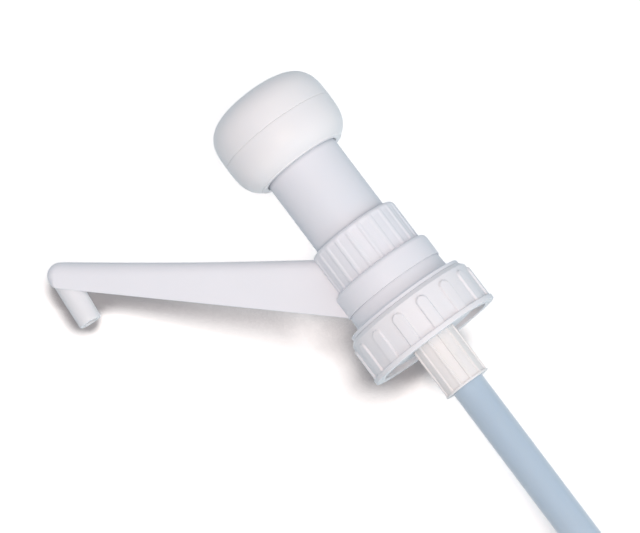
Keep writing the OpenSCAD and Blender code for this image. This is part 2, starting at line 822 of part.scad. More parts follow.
module inlet_ball_cage() {
    hole_r = stub_bore_d / 2;
    color("gainsboro") {
        pipe(spring_d / 2 + cage_rim_w, hole_r, floor_z, floor_z + cage_t);
        translate([0, 0, floor_z]) cross_bars(hole_r + cage_rim_w / 2, cage_bar_w, cage_t);
        rod(cage_post_d / 2, inlet_stop_z, floor_z + cage_t / 2);
    }
}

module dip_tube() {
    foot_z = tube_top_z - tube_len;
    color("lightsteelblue") difference() {
        pipe(tube_r, tube_r - tube_wall, foot_z, tube_top_z);
        translate([-tube_r, 0, foot_z]) rotate([0, -tube_slant, 0])
            translate([-tube_d, -tube_d, -2 * tube_d]) cube([4 * tube_d, 2 * tube_d, 2 * tube_d]);
    }
}

screw_cap();
cap_gasket();
barrel();
barrel_flange();
swivel_ring();
housing();
housing_o_rings();
gland_nut();
gland_bush();
plunger_seal();
plunger_tube();
spring_washer();
return_spring();
knob_base();
knob_cap();
knob_screw();
spout_arm();
spout_o_ring();
nozzle();
outlet_seat();
outlet_ball();
outlet_ball_stop();
valve_housing();
inlet_gasket();
inlet_seat();
inlet_ball();
inlet_ball_cage();
dip_tube();
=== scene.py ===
"""Looks of the jerrycan dosing pump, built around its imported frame.

Sizes are in millimetres, as on a workshop drawing, and become metres when a mesh is made.
"""

import math

import bmesh
import bpy
from mathutils import Matrix, Vector


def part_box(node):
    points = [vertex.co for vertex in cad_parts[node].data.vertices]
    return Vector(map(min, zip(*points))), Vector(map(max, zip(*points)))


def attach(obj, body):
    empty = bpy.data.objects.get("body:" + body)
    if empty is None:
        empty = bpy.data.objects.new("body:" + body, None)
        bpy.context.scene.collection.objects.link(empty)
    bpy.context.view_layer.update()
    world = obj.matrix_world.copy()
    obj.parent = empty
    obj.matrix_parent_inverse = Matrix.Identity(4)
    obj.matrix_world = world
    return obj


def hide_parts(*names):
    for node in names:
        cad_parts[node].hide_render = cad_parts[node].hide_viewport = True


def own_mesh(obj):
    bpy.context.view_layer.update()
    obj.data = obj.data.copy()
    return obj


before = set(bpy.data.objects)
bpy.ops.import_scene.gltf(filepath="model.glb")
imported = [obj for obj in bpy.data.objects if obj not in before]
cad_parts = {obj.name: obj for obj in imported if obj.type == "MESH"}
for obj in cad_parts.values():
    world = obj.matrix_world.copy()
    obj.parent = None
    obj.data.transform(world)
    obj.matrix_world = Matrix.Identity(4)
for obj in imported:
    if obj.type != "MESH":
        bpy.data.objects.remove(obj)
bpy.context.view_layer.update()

MM = 0.001


# Sizes read from the frame

def round_size(node):
    """Outer radius, foot and top of a node that is round about Z."""
    low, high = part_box(node)
    return high.x / MM, low.z / MM, high.z / MM


KNOB_R, KNOB_LIP, KNOB_SEAM = round_size("knob_base")
KNOB_CROWN = round_size("knob_cap")[2]
PLUNGER_R, PLUNGER_FOOT, PLUNGER_TOP = round_size("plunger_tube")
NUT_R, NUT_FOOT, NUT_TOP = round_size("gland_nut")
HOUSING_R, HOUSING_FOOT, _ = round_size("housing")
RING_FLANGE_R, RING_FOOT, RING_TOP = round_size("swivel_ring")
CAP_RIM_R, CAP_FOOT, CAP_TOP = round_size("screw_cap")
SLEEVE_R, SLEEVE_FOOT, SLEEVE_TOP = round_size("valve_housing")
TUBE_R, TUBE_FOOT, TUBE_TOP = round_size("dip_tube")
SPRING_R, SPRING_FOOT, SPRING_HEAD = round_size("return_spring")
BARREL_R = -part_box("gland_bush")[0].x / MM
BUSH_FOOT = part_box("gland_bush")[0].z / MM

# Clearances that several pieces share
FIT_GAP = 0.05
BARREL_GAP = 0.1


# Shapes

EVEN_COLUMNS = 160
PIPE_SIDES = 96
ARC_STEPS = 6
PLAIN_STEP = 4.0
PANEL_MARGIN = 1.5
WELD_REACH = 1e-4
SHARP_ANGLE = math.radians(38)


def blend_step(t):
    """Smooth step from 0 to 1."""
    t = min(max(t, 0.0), 1.0)
    return t * t * (3 - 2 * t)


def even_angles(count):
    return [2 * math.pi * k / count for k in range(count)]


def round_point(r, angle, z):
    """Point at a radius, an angle about Z and a height."""
    return r * math.cos(angle), r * math.sin(angle), z


def arc(centre, radius, start, end):
    """Points on an arc, with its angles in degrees."""
    angles = [math.radians(start + (end - start) * k / ARC_STEPS) for k in range(ARC_STEPS + 1)]
    return [(centre[0] + radius * math.cos(a), centre[1] + radius * math.sin(a)) for a in angles]


def rounded(corners):
    """Closed outline through (r, z, corner radius) points, with an arc at each rounded corner."""
    points = []
    for i, (r, z, radius) in enumerate(corners):
        here = Vector((r, z))
        if radius == 0:
            points.append((r, z))
            continue
        before = (Vector(corners[i - 1][:2]) - here).normalized()
        after = (Vector(corners[(i + 1) % len(corners)][:2]) - here).normalized()
        half = before.angle(after) / 2
        centre = here + (before + after).normalized() * (radius / math.sin(half))
        start = here + before * (radius / math.tan(half)) - centre
        end = here + after * (radius / math.tan(half)) - centre
        first = math.degrees(math.atan2(start.y, start.x))
        turn = (math.degrees(math.atan2(end.y, end.x)) - first + 180) % 360 - 180
        points += arc(centre, radius, first, first + turn)
    return points


def refined_run(points, step, plain_r=0.0):
    """A run of points with no stretch longer than step, or than PLAIN_STEP inside plain_r."""
    run = []
    for (r0, z0), (r1, z1) in zip(points, points[1:]):
        longest = step if max(r0, r1) > plain_r else PLAIN_STEP
        parts = max(1, math.ceil(math.hypot(r1 - r0, z1 - z0) / longest))
        run += [(r0 + (r1 - r0) * k / parts, z0 + (z1 - z0) * k / parts) for k in range(parts)]
    return run + [points[-1]]


def refined(outline, step, plain_r=0.0):
    """The same for a closed outline."""
    return refined_run(outline + outline[:1], step, plain_r)[:-1]


def make_piece(name, points, faces, smooth=True):
    """Mesh object from points in millimetres, with its faces turned outwards."""
    mesh = bpy.data.meshes.new(name)
    mesh.from_pydata([tuple(v * MM for v in p) for p in points], [], faces)
    shell = bmesh.new()
    shell.from_mesh(mesh)
    bmesh.ops.remove_doubles(shell, verts=shell.verts, dist=WELD_REACH * MM)
    bmesh.ops.recalc_face_normals(shell, faces=shell.faces)
    shell.to_mesh(mesh)
    shell.free()
    if smooth:
        soften(mesh)
    return place_object(name, mesh)


def place_object(name, data):
    """New object in the scene."""
    placed = bpy.data.objects.new(name, data)
    bpy.context.scene.collection.objects.link(placed)
    return placed


def soften(mesh):
    """Smooth shading that keeps the real edges crisp."""
    mesh.shade_smooth()
    mesh.set_sharp_from_angle(angle=SHARP_ANGLE)


def lathe_mesh(outline, columns, relief=None):
    """Points and faces of an outline turned about Z. One that starts on the axis ends there too."""
    points, faces = [], []
    count = len(columns)
    for r, z in outline:
        points += [round_point(r + (relief(a, r, z) if relief else 0.0), a, z) for a in columns]
    rows = len(outline)
    last = rows - 1 if outline[0][0] == 0 else rows
    for i in range(last):
        low, high = i * count, (i + 1) % rows * count
        for j in range(count):
            k = (j + 1) % count
            corners = (low + j, low + k, high + k, high + j)
            if outline[i][0] == 0:
                corners = (low, high + k, high + j)
            elif outline[(i + 1) % rows][0] == 0:
                corners = (low + j, low + k, high)
            faces.append(corners)
    return points, faces


def lathe(name, outline, columns=None, relief=None):
    return make_piece(name, *lathe_mesh(outline, columns or even_angles(EVEN_COLUMNS), relief))


def panel_offset(angle, first, pitch):
    """Angle from the middle of the nearest panel."""
    return (angle - first + pitch / 2) % pitch - pitch / 2


def panel_distance(across, up, half_w, foot, top, foot_r, top_r):
    """How far a point lies outside a panel with rounded corners. Inside, it is negative."""
    corner_r = top_r if up > (foot + top) / 2 else foot_r
    dx = abs(across) - half_w + corner_r
    dz = abs(up - (foot + top) / 2) - (top - foot) / 2 + corner_r
    return math.hypot(max(dx, 0), max(dz, 0)) + min(max(dx, dz), 0) - corner_r


def panel_relief(count, height, half_w, foot, top, foot_r, top_r, edge, wall_r, first):
    """Relief of a row of like panels round a wall: raised ribs, or flutes where height is negative."""
    pitch = 2 * math.pi / count

    def relief(angle, r, z):
        if r < wall_r or not foot - 2 * edge < z < top + 2 * edge:
            return 0.0
        across = panel_offset(angle, first, pitch) * r
        distance = panel_distance(across, z, half_w, foot, top, foot_r, top_r)
        return height * blend_step((edge - distance) / (2 * edge))
    return relief


def panel_columns(count, radius, half_w, edge, fine, wide, first):
    """Angles round a wall, close together on each panel and its edges and wide apart between them."""
    pitch = 2 * math.pi / count
    reach = half_w + PANEL_MARGIN * edge
    steps = math.ceil(reach / fine)
    offsets = [reach * k / steps for k in range(-steps, steps + 1)]
    gap = pitch * radius - 2 * reach
    parts = max(1, math.ceil(gap / wide))
    offsets += [reach + gap * k / parts for k in range(1, parts)]
    return [first + i * pitch + s / radius for i in range(count) for s in offsets]


def join(name, pieces):
    """One object from several meshes."""
    merged = bmesh.new()
    for piece in pieces:
        merged.from_mesh(piece.data)
        bpy.data.objects.remove(piece)
    mesh = bpy.data.meshes.new(name)
    merged.to_mesh(mesh)
    merged.free()
    soften(mesh)
    return place_object(name, mesh)


def cut_away(piece, cutter):
    """Removes cutter's volume from piece, and then cutter."""
    cut = piece.modifiers.new("cut", "BOOLEAN")
    cut.object = cutter
    cut.solver = "EXACT"
    bpy.context.view_layer.update()
    shown = piece.evaluated_get(bpy.context.evaluated_depsgraph_get())
    mesh = bpy.data.meshes.new_from_object(shown)
    piece.modifiers.clear()
    piece.data = mesh
    soften(mesh)
    bpy.data.objects.remove(cutter)


def sweep_mesh(rings, capped=True):
    """Points and faces of a skin over rings with the same number of points."""
    sides = len(rings[0])
    points = [p for ring in rings for p in ring]
    faces = []
    for i in range(len(rings) - 1):
        for j in range(sides):
            k = (j + 1) % sides
            faces.append((i * sides + j, i * sides + k, (i + 1) * sides + k, (i + 1) * sides + j))
    if capped:
        faces.append(tuple(reversed(range(sides))))
        faces.append(tuple(range(len(points) - sides, len(points))))
    return points, faces


# Knob

KNOB_HALF_H = 19.4
KNOB_MID = KNOB_CROWN - KNOB_HALF_H
KNOB_POWER = 3.3
KNOB_WALL = 2.2
KNOB_OPENING_R = PLUNGER_R + 0.5
KNOB_OPENING_ROUND = 0.4
KNOB_SLEEVE_LIFT = 6.6
KNOB_WEB_FOOT = PLUNGER_TOP
KNOB_WEB_T = 2.5
KNOB_SCREW_HOLE_R = 2.25
KNOB_SEAM_W = 0.13
KNOB_SEAM_EASE = 0.06
KNOB_SEAM_DEPTH = 0.22
KNOB_SKIRT_H = 2.2
KNOB_LIP_ROUND = 0.5
KNOB_STEPS = 44
KNOB_INNER_STEPS = 12


def knob_radius(z, inset=0.0):
    """Radius of the knob's outline at a height, pulled in by its wall where asked."""
    share = min(1.0, abs(z - KNOB_MID) / (KNOB_HALF_H - inset))
    return (KNOB_R - inset) * (1 - share ** KNOB_POWER) ** (1 / KNOB_POWER)


def knob_curve(start, end, inset=0.0, steps=KNOB_STEPS):
    """Outline of the knob between two heights, with its points closer together towards the end."""
    points = []
    for k in range(steps + 1):
        z = start + (end - start) * math.sin(math.pi / 2 * k / steps)
        points.append((knob_radius(z, inset), z))
    return points


def knob_base():
    web_top = KNOB_WEB_FOOT + KNOB_WEB_T
    inner_r = KNOB_R - KNOB_WALL
    inner_floor = KNOB_LIP + KNOB_WALL
    sleeve_r = PLUNGER_R + FIT_GAP
    sleeve_foot = KNOB_LIP + KNOB_SLEEVE_LIFT
    lip_top = KNOB_LIP + KNOB_LIP_ROUND
    opening = (KNOB_OPENING_R + KNOB_OPENING_ROUND, KNOB_LIP + KNOB_OPENING_ROUND)
    outline = arc(opening, KNOB_OPENING_ROUND, 180, 270)
    outline += arc((knob_radius(lip_top) - KNOB_LIP_ROUND, lip_top), KNOB_LIP_ROUND, -90, -30)
    outline += knob_curve(KNOB_MID, lip_top)[::-1]
    outline += [(KNOB_R, KNOB_SEAM - 2 * KNOB_SEAM_W), (KNOB_R - KNOB_SEAM_EASE, KNOB_SEAM - KNOB_SEAM_W)]
    outline += [(KNOB_R - KNOB_SEAM_DEPTH, KNOB_SEAM), (inner_r, KNOB_SEAM), (inner_r, web_top)]
    outline += [(KNOB_SCREW_HOLE_R, web_top), (KNOB_SCREW_HOLE_R, KNOB_WEB_FOOT)]
    outline += [(sleeve_r, KNOB_WEB_FOOT), (sleeve_r, sleeve_foot), (sleeve_r + KNOB_WALL, sleeve_foot)]
    outline += [(sleeve_r + KNOB_WALL, KNOB_WEB_FOOT)]
    outline += knob_curve(KNOB_WEB_FOOT, inner_floor, KNOB_WALL, KNOB_INNER_STEPS)
    outline += [(KNOB_OPENING_R, inner_floor)]
    return lathe("knob_base_shell", outline)


def knob_cap():
    skirt_r = KNOB_R - KNOB_WALL - FIT_GAP
    skirt_foot = KNOB_SEAM - KNOB_SKIRT_H
    shell_r = skirt_r - KNOB_WALL
    crown_under = KNOB_CROWN - KNOB_WALL
    outline = [(0, KNOB_CROWN)] + knob_curve(KNOB_SEAM + 2 * KNOB_SEAM_W, KNOB_CROWN)[-2::-1]
    outline += [(knob_radius(KNOB_SEAM) - KNOB_SEAM_EASE, KNOB_SEAM + KNOB_SEAM_W)]
    outline += [(KNOB_R - KNOB_SEAM_DEPTH, KNOB_SEAM), (skirt_r, KNOB_SEAM), (skirt_r, skirt_foot)]
    outline += [(shell_r, skirt_foot), (shell_r, KNOB_SEAM + KNOB_SKIRT_H)]
    outline += knob_curve(KNOB_SEAM + 2 * KNOB_SKIRT_H, crown_under, KNOB_WALL, KNOB_INNER_STEPS)[:-1]
    outline += [(0, crown_under)]
    return lathe("knob_cap_shell", outline)


# Plunger and its spring

PLUNGER_WALL = 2.0
PLUNGER_BORE_R = PLUNGER_R - PLUNGER_WALL
PLUNGER_FOOT_ROUND = 0.8
PLUNGER_TOP_ROUND = 0.4
PLUNGER_ROW_STEP = 6.0
BULKHEAD_FOOT = 58.0
BULKHEAD_T = 2.5
BULKHEAD_FILLET = 1.0
SCREW_BOSS_R = 4.5
SCREW_BOSS_FILLET = 0.8
SCREW_HOLE_R = 2.0
SCREW_HOLE_FOOT = PLUNGER_TOP - 18.0
LUG_COUNT = 4
LUG_W = 5.0
LUG_H = 3.0
LUG_OUT_R = 17.0
LUG_ROOT_R = PLUNGER_R - 1.0
LUG_TOP = BUSH_FOOT - FIT_GAP
LUG_STEPS = 6
SPRING_WIRE_R = 0.8
SPRING_TURNS = 12
SPRING_END_TURNS = 1.0
SPRING_END_PITCH = 2.2 * SPRING_WIRE_R
SPRING_TURN_STEPS = 32
WIRE_SIDES = 12


def plunger():
    bulkhead_top = BULKHEAD_FOOT + BULKHEAD_T
    outline = rounded([
        (PLUNGER_R, PLUNGER_FOOT, PLUNGER_FOOT_ROUND), (PLUNGER_R, PLUNGER_TOP, PLUNGER_TOP_ROUND),
        (PLUNGER_BORE_R, PLUNGER_TOP, 0), (PLUNGER_BORE_R, bulkhead_top, BULKHEAD_FILLET),
        (SCREW_BOSS_R, bulkhead_top, SCREW_BOSS_FILLET), (SCREW_BOSS_R, PLUNGER_TOP, 0),
        (SCREW_HOLE_R, PLUNGER_TOP, 0), (SCREW_HOLE_R, SCREW_HOLE_FOOT, 0)])
    outline = [(0, SCREW_HOLE_FOOT)] + outline[::-1]
    split = outline.index((PLUNGER_BORE_R, PLUNGER_TOP))
    wall = refined_run(outline[split:], PLUNGER_ROW_STEP)
    inner = [(PLUNGER_BORE_R, PLUNGER_FOOT), (PLUNGER_BORE_R, BULKHEAD_FOOT), (0, BULKHEAD_FOOT)]
    tube = lathe("plunger_wall", outline[:split] + wall + inner)
    return join("plunger_sleeve", [tube] + [lug(middle) for middle in even_angles(LUG_COUNT)])


def lug(middle):
    """Stop lug on the plunger's wall, under the gland bush."""
    half = math.asin(LUG_W / 2 / PLUNGER_R)
    foot = LUG_TOP - LUG_H
    section = ((LUG_ROOT_R, foot), (LUG_OUT_R, foot), (LUG_OUT_R, LUG_TOP), (LUG_ROOT_R, LUG_TOP))
    angles = [middle - half + 2 * half * k / LUG_STEPS for k in range(LUG_STEPS + 1)]
    return make_piece("lug", *sweep_mesh([[round_point(r, a, z) for r, z in section] for a in angles]))


def spring_height(turn):
    """Height of the spring's wire after some turns. Its two ends are closed."""
    low, high = SPRING_FOOT + SPRING_WIRE_R, SPRING_HEAD - SPRING_WIRE_R
    end = min(turn, SPRING_TURNS - turn)
    if end < SPRING_END_TURNS:
        rise = SPRING_END_PITCH * end
        return low + rise if turn < SPRING_TURNS / 2 else high - rise
    closed = SPRING_END_PITCH * SPRING_END_TURNS
    share = (turn - SPRING_END_TURNS) / (SPRING_TURNS - 2 * SPRING_END_TURNS)
    return low + closed + (high - low - 2 * closed) * share


def spring():
    """Coil spring at its rest length. The real spring shortens as the plunger goes down."""
    coil_r = SPRING_R - SPRING_WIRE_R
    steps = SPRING_TURNS * SPRING_TURN_STEPS
    rings = []
    for i in range(steps + 1):
        turn = SPRING_TURNS * i / steps
        z = spring_height(turn)
        rings.append([round_point(coil_r + SPRING_WIRE_R * math.cos(side), 2 * math.pi * turn,
                                  z + SPRING_WIRE_R * math.sin(side)) for side in even_angles(WIRE_SIDES)])
    return make_piece("return_coil", *sweep_mesh(rings))


# Gland nut, housing and swivel ring

NUT_BORE_R = BARREL_R + BARREL_GAP
NUT_OPENING_R = PLUNGER_R + 0.3
NUT_OPENING_ROUND = 0.5
NUT_TOP_T = 2.5
NUT_EDGE_R = 2.2
NUT_FOOT_ROUND = 0.3
NUT_WALL_R = NUT_R - NUT_EDGE_R
NUT_RIBS = 22
NUT_RIB_W = 1.7
NUT_FLUTE_DEPTH = 0.45
NUT_FLUTE_EDGE = 0.4
NUT_FADE_FROM = 0.9
NUT_FADE_H = 2.2
NUT_FIRST_RIB = math.radians(7.7)
NUT_FINE_STEP = 0.28
NUT_WIDE_STEP = 0.3
NUT_ROW_STEP = 0.45
HOUSING_BORE_R = BARREL_R + BARREL_GAP
HOUSING_SHOULDER_R = 2.0
PARTING_ROUND = 0.15
RING_BORE_R = BARREL_R + FIT_GAP
RING_TOP_R = 22.45
RING_R = 22.9
RING_FLANGE_H = 1.3
RING_FLANGE_ROUND = 0.4
RING_FOOT_ROUND = 0.08
RING_FILLET = 2.0
RING_OVER_CAP = 0.06


def gland_nut():
    top_under = NUT_TOP - NUT_TOP_T
    outline = rounded([
        (NUT_BORE_R, NUT_FOOT, 0), (NUT_R, NUT_FOOT, NUT_FOOT_ROUND), (NUT_R, NUT_TOP, NUT_EDGE_R),
        (NUT_OPENING_R, NUT_TOP, NUT_OPENING_ROUND), (NUT_OPENING_R, top_under, 0),
        (NUT_BORE_R, top_under, 0)])
    flute_half = math.pi * NUT_R / NUT_RIBS - NUT_RIB_W / 2
    first = NUT_FIRST_RIB + math.pi / NUT_RIBS
    pitch = 2 * math.pi / NUT_RIBS

    def flutes(angle, r, z):
        """Shallow flutes that run out of the foot and fade into the rounded top edge."""
        if r < NUT_WALL_R:
            return 0.0
        across = abs(panel_offset(angle, first, pitch)) * r
        side = blend_step((flute_half + NUT_FLUTE_EDGE - across) / (2 * NUT_FLUTE_EDGE))
        return -NUT_FLUTE_DEPTH * side * blend_step((NUT_TOP - NUT_FADE_FROM - z) / NUT_FADE_H)
    columns = panel_columns(NUT_RIBS, NUT_R, flute_half, NUT_FLUTE_EDGE, NUT_FINE_STEP, NUT_WIDE_STEP, first)
    return lathe("gland_nut_shell", refined(outline, NUT_ROW_STEP, NUT_WALL_R), columns, flutes)


def housing():
    outline = rounded([
        (HOUSING_BORE_R, HOUSING_FOOT, 0), (HOUSING_R, HOUSING_FOOT, PARTING_ROUND),
        (HOUSING_R, NUT_FOOT, HOUSING_SHOULDER_R), (HOUSING_BORE_R, NUT_FOOT, 0)])
    return lathe("housing_shell", outline)


def swivel_ring():
    flange_top = RING_FOOT + RING_FLANGE_H
    foot = CAP_TOP + RING_OVER_CAP
    outline = rounded([
        (RING_BORE_R, foot, 0), (RING_FLANGE_R, foot, RING_FOOT_ROUND),
        (RING_FLANGE_R, flange_top, RING_FLANGE_ROUND), (RING_R, flange_top, RING_FILLET),
        (RING_TOP_R, RING_TOP, PARTING_ROUND), (RING_BORE_R, RING_TOP, 0)])
    return lathe("swivel_ring_shell", outline)


# Screw cap

CAP_R = 28.8
CAP_THREAD_R = 25.7
CAP_OPENING_R = BARREL_R + 0.7
CAP_OPENING_ROUND = 0.4
CAP_UNDER = CAP_TOP - 2.4
CAP_UNDER_FILLET = 0.6
CAP_SHOULDER_R = 0.6
CAP_SHOULDER_H = 1.75
CAP_SHOULDER_TOP_R = RING_FLANGE_R
CAP_TOP_ROUND = 0.1
CAP_WALL_FILLET = 0.35
CAP_RIM_H = 2.2
CAP_RIM_TOP = CAP_FOOT + CAP_RIM_H
CAP_RIM_FOOT_ROUND = 0.4
CAP_RIM_TOP_ROUND = 0.45
CAP_RIBS = 15
CAP_RIB_W = 4.9
CAP_RIB_H = 0.8
CAP_RIB_TOP = CAP_TOP - 3.7
CAP_RIB_EDGE = 0.3
CAP_FIRST_RIB = math.radians(-97.2)
CAP_FINE_STEP = 0.2
CAP_WIDE_STEP = 0.8
CAP_ROW_STEP = 0.4
THREAD_H = 1.5
THREAD_PITCH = 6.0
THREAD_TURNS = 1.25
THREAD_TURN_STEPS = 96
THREAD_FOOT_W = 3.0
THREAD_CREST_W = 1.2
THREAD_RUNOUT = 0.17
THREAD_LEAST_SHARE = 0.02
THREAD_SINK = 0.1
THREAD_ROOT_R = CAP_THREAD_R + 0.3


def screw_cap():
    outline = rounded([
        (CAP_THREAD_R, CAP_FOOT, CAP_RIM_FOOT_ROUND), (CAP_RIM_R, CAP_FOOT, CAP_RIM_FOOT_ROUND),
        (CAP_RIM_R, CAP_RIM_TOP, CAP_RIM_TOP_ROUND), (CAP_R, CAP_RIM_TOP, CAP_WALL_FILLET),
        (CAP_R, CAP_TOP - CAP_SHOULDER_H, CAP_SHOULDER_R), (CAP_SHOULDER_TOP_R, CAP_TOP, CAP_TOP_ROUND),
        (CAP_OPENING_R, CAP_TOP, CAP_OPENING_ROUND), (CAP_OPENING_R, CAP_UNDER, 0),
        (CAP_THREAD_R, CAP_UNDER, CAP_UNDER_FILLET)])
    rib_half = CAP_RIB_W / 2
    ribs = panel_relief(CAP_RIBS, CAP_RIB_H, rib_half, CAP_FOOT, CAP_RIB_TOP, 0, rib_half,
                        CAP_RIB_EDGE, CAP_R, CAP_FIRST_RIB)

    def over_wall(angle, r, z):
        """Ribs stand on the wall, and run into the rim where it is as high as they are."""
        if r < CAP_SHOULDER_TOP_R or z < CAP_RIM_TOP - CAP_RIB_H:
            return 0.0
        return max(0.0, ribs(angle, CAP_R, z) - max(0.0, r - CAP_R))
    columns = panel_columns(CAP_RIBS, CAP_R, rib_half, CAP_RIB_EDGE, CAP_FINE_STEP, CAP_WIDE_STEP,
                            CAP_FIRST_RIB)
    shell = lathe("cap_shell", refined(outline, CAP_ROW_STEP, CAP_SHOULDER_TOP_R), columns, over_wall)
    return join("screw_cap_shell", [shell, neck_thread()])


def neck_thread():
    """Thread ridge inside the cap, which fades out at both ends."""
    steps = int(THREAD_TURNS * THREAD_TURN_STEPS)
    rings = []
    for i in range(steps + 1):
        turn = THREAD_TURNS * i / steps
        grow = max(blend_step(min(turn, THREAD_TURNS - turn) / THREAD_RUNOUT), THREAD_LEAST_SHARE)
        crest_r = CAP_THREAD_R + THREAD_SINK - (THREAD_H + THREAD_SINK) * grow
        z = CAP_RIM_TOP + THREAD_FOOT_W / 2 + THREAD_PITCH * turn
        section = ((THREAD_ROOT_R, -THREAD_FOOT_W / 2), (crest_r, -THREAD_CREST_W / 2),
                   (crest_r, THREAD_CREST_W / 2), (THREAD_ROOT_R, THREAD_FOOT_W / 2))
        rings.append([round_point(r, 2 * math.pi * turn, z + up) for r, up in section])
    return make_piece("neck_thread", *sweep_mesh(rings))


# Spout arm and nozzle

ARM_TIP = Vector((110.5, 105.55))
ARM_TIP_R = 5.65
ARM_HALF_W = 6.2
ARM_TOE = Vector((HOUSING_R, HOUSING_FOOT + 1.1))
ARM_HEEL = Vector((NUT_R + 0.2, NUT_TOP + 0.3))
ARM_CROWN_ROUND = 5.6
ARM_CROWN_SAG = 0.6
ARM_TIP_ROUND = 4.0
ARM_FLOOR_ROUND = 0.5
ARM_ROOT_IN = 5.0
ARM_ROOT_BITE = 0.08
ARM_STEPS = 40
ARM_TIP_STEPS = 28
ROUND_STEPS = 9
FLAT_STEPS = 4
HEAD_CUT_FOOT = HOUSING_FOOT - 4.0
HEAD_CUT_TOP = NUT_TOP + 9.0
NOZZLE_R = 5.1
NOZZLE_ROOT_R = 5.45
NOZZLE_BORE_R = 3.0
NOZZLE_DROP = 23.55
NOZZLE_LEAN = math.radians(4.5)
NOZZLE_ROUND = 0.45
NOZZLE_SEAT_DROP = 9.0
NOZZLE_SEAT_IN = 0.25
NOZZLE_SPIGOT_R = NOZZLE_BORE_R + 0.8
NOZZLE_SPIGOT_DROP = 3.0
NOZZLE_ROW_DROPS = (12.0, 16.0, 20.0)


def tangent_bearing(start, side):
    """Bearing of the line from start that just touches the tip's circle, on its lower or upper side."""
    to_tip = ARM_TIP - start
    return math.atan2(to_tip.y, to_tip.x) + side * math.asin(ARM_TIP_R / to_tip.length)


FLOOR_ANGLE = tangent_bearing(ARM_TOE, -1)
CROWN_ANGLE = tangent_bearing(ARM_HEEL, 1)
FLOOR_SIDE = Vector((math.sin(FLOOR_ANGLE), -math.cos(FLOOR_ANGLE)))
CROWN_SIDE = Vector((-math.sin(CROWN_ANGLE), math.cos(CROWN_ANGLE)))


def arm_outline():
    """Edge of the arm's side view as (edge point, inward point on the spine, corner radius)."""
    floor_end = ARM_TIP + ARM_TIP_R * FLOOR_SIDE
    crown_end = ARM_TIP + ARM_TIP_R * CROWN_SIDE
    floor_start = ARM_TOE - ARM_ROOT_IN * Vector((math.cos(FLOOR_ANGLE), math.sin(FLOOR_ANGLE)))
    crown_start = ARM_HEEL - ARM_ROOT_IN * Vector((math.cos(CROWN_ANGLE), math.sin(CROWN_ANGLE)))
    spine_end = (floor_end + crown_end) / 2
    spine_start = (floor_start + crown_start) / 2
    edge = []
    for k in range(ARM_STEPS):
        t = k / ARM_STEPS
        edge.append((floor_start.lerp(floor_end, t), spine_start.lerp(spine_end, t), ARM_FLOOR_ROUND))
    first = math.atan2(FLOOR_SIDE.y, FLOOR_SIDE.x)
    last = math.atan2(CROWN_SIDE.y, CROWN_SIDE.x)
    for k in range(ARM_TIP_STEPS + 1):
        t = k / ARM_TIP_STEPS
        a = first + (last - first) * t
        point = ARM_TIP + ARM_TIP_R * Vector((math.cos(a), math.sin(a)))
        # The floor's round grows over the first third, and becomes the crown's over the second half
        grown = ARM_FLOOR_ROUND + (ARM_TIP_ROUND - ARM_FLOOR_ROUND) * blend_step(3 * t)
        radius = grown + (ARM_CROWN_ROUND - ARM_TIP_ROUND) * blend_step(2 * t - 1)
        edge.append((point, spine_end, radius))
    for k in range(ARM_STEPS - 1, -1, -1):
        t = k / ARM_STEPS
        sag = ARM_CROWN_SAG * math.sin(math.pi * t)
        point = crown_start.lerp(crown_end, t) - sag * CROWN_SIDE
        edge.append((point, spine_start.lerp(spine_end, t), ARM_CROWN_ROUND))
    return edge


def arm_strip(point, spine, radius):
    """Points from an edge of the arm to its spine, as (place in the side view, half width)."""
    depth = (spine - point).length
    strip = []
    for k in range(ROUND_STEPS + 1):
        turn = math.pi / 2 * k / ROUND_STEPS
        inset = radius * (1 - math.cos(turn))
        strip.append((inset, ARM_HALF_W - radius + radius * math.sin(turn)))
    for k in range(1, FLAT_STEPS + 1):
        strip.append((radius + (depth - radius) * k / FLAT_STEPS, ARM_HALF_W))
    return [(point.lerp(spine, inset / depth), half) for inset, half in strip]


def arm_blank():
    """Arm before it is fitted to the head: two rounded flanks joined along the edge."""
    strips = [arm_strip(*edge) for edge in arm_outline()]
    across = len(strips[0])
    points, faces = [], []
    for side in (-1, 1):
        for strip in strips:
            points += [(-place.x, side * half, place.y) for place, half in strip]
    flank = len(strips) * across
    for i in range(len(strips) - 1):
        for j in range(across - 1):
            quad = (i * across + j, i * across + j + 1, (i + 1) * across + j + 1, (i + 1) * across + j)
            faces.append(quad)
            faces.append(tuple(flank + v for v in quad))
        faces.append((i * across, (i + 1) * across, flank + (i + 1) * across, flank + i * across))
    first = list(range(across))
    last = [(len(strips) - 1) * across + j for j in range(across)]
    rim = first + last[-2::-1]
    faces += [(a, b, flank + b, flank + a) for a, b in zip(rim, rim[1:])]
    return make_piece("spout_arm_shell", points, faces, smooth=False)


def spout_arm():
    arm = arm_blank()
    nut_r = NUT_R - NUT_FLUTE_DEPTH
    housing_r = HOUSING_R - ARM_ROOT_BITE
    head = rounded([
        (0, HEAD_CUT_FOOT, 0), (housing_r, HEAD_CUT_FOOT, 0), (housing_r, NUT_FOOT, HOUSING_SHOULDER_R),
        (nut_r, NUT_FOOT - ARM_ROOT_BITE, 0), (nut_r, HEAD_CUT_TOP, 0), (0, HEAD_CUT_TOP, 0)])
    cut_away(arm, lathe("head_cutter", head))
    return arm


def nozzle_radius(drop):
    """Radius of the nozzle's taper, a distance below the centre of the spout's tip."""
    return NOZZLE_ROOT_R + (NOZZLE_R - NOZZLE_ROOT_R) * drop / NOZZLE_DROP


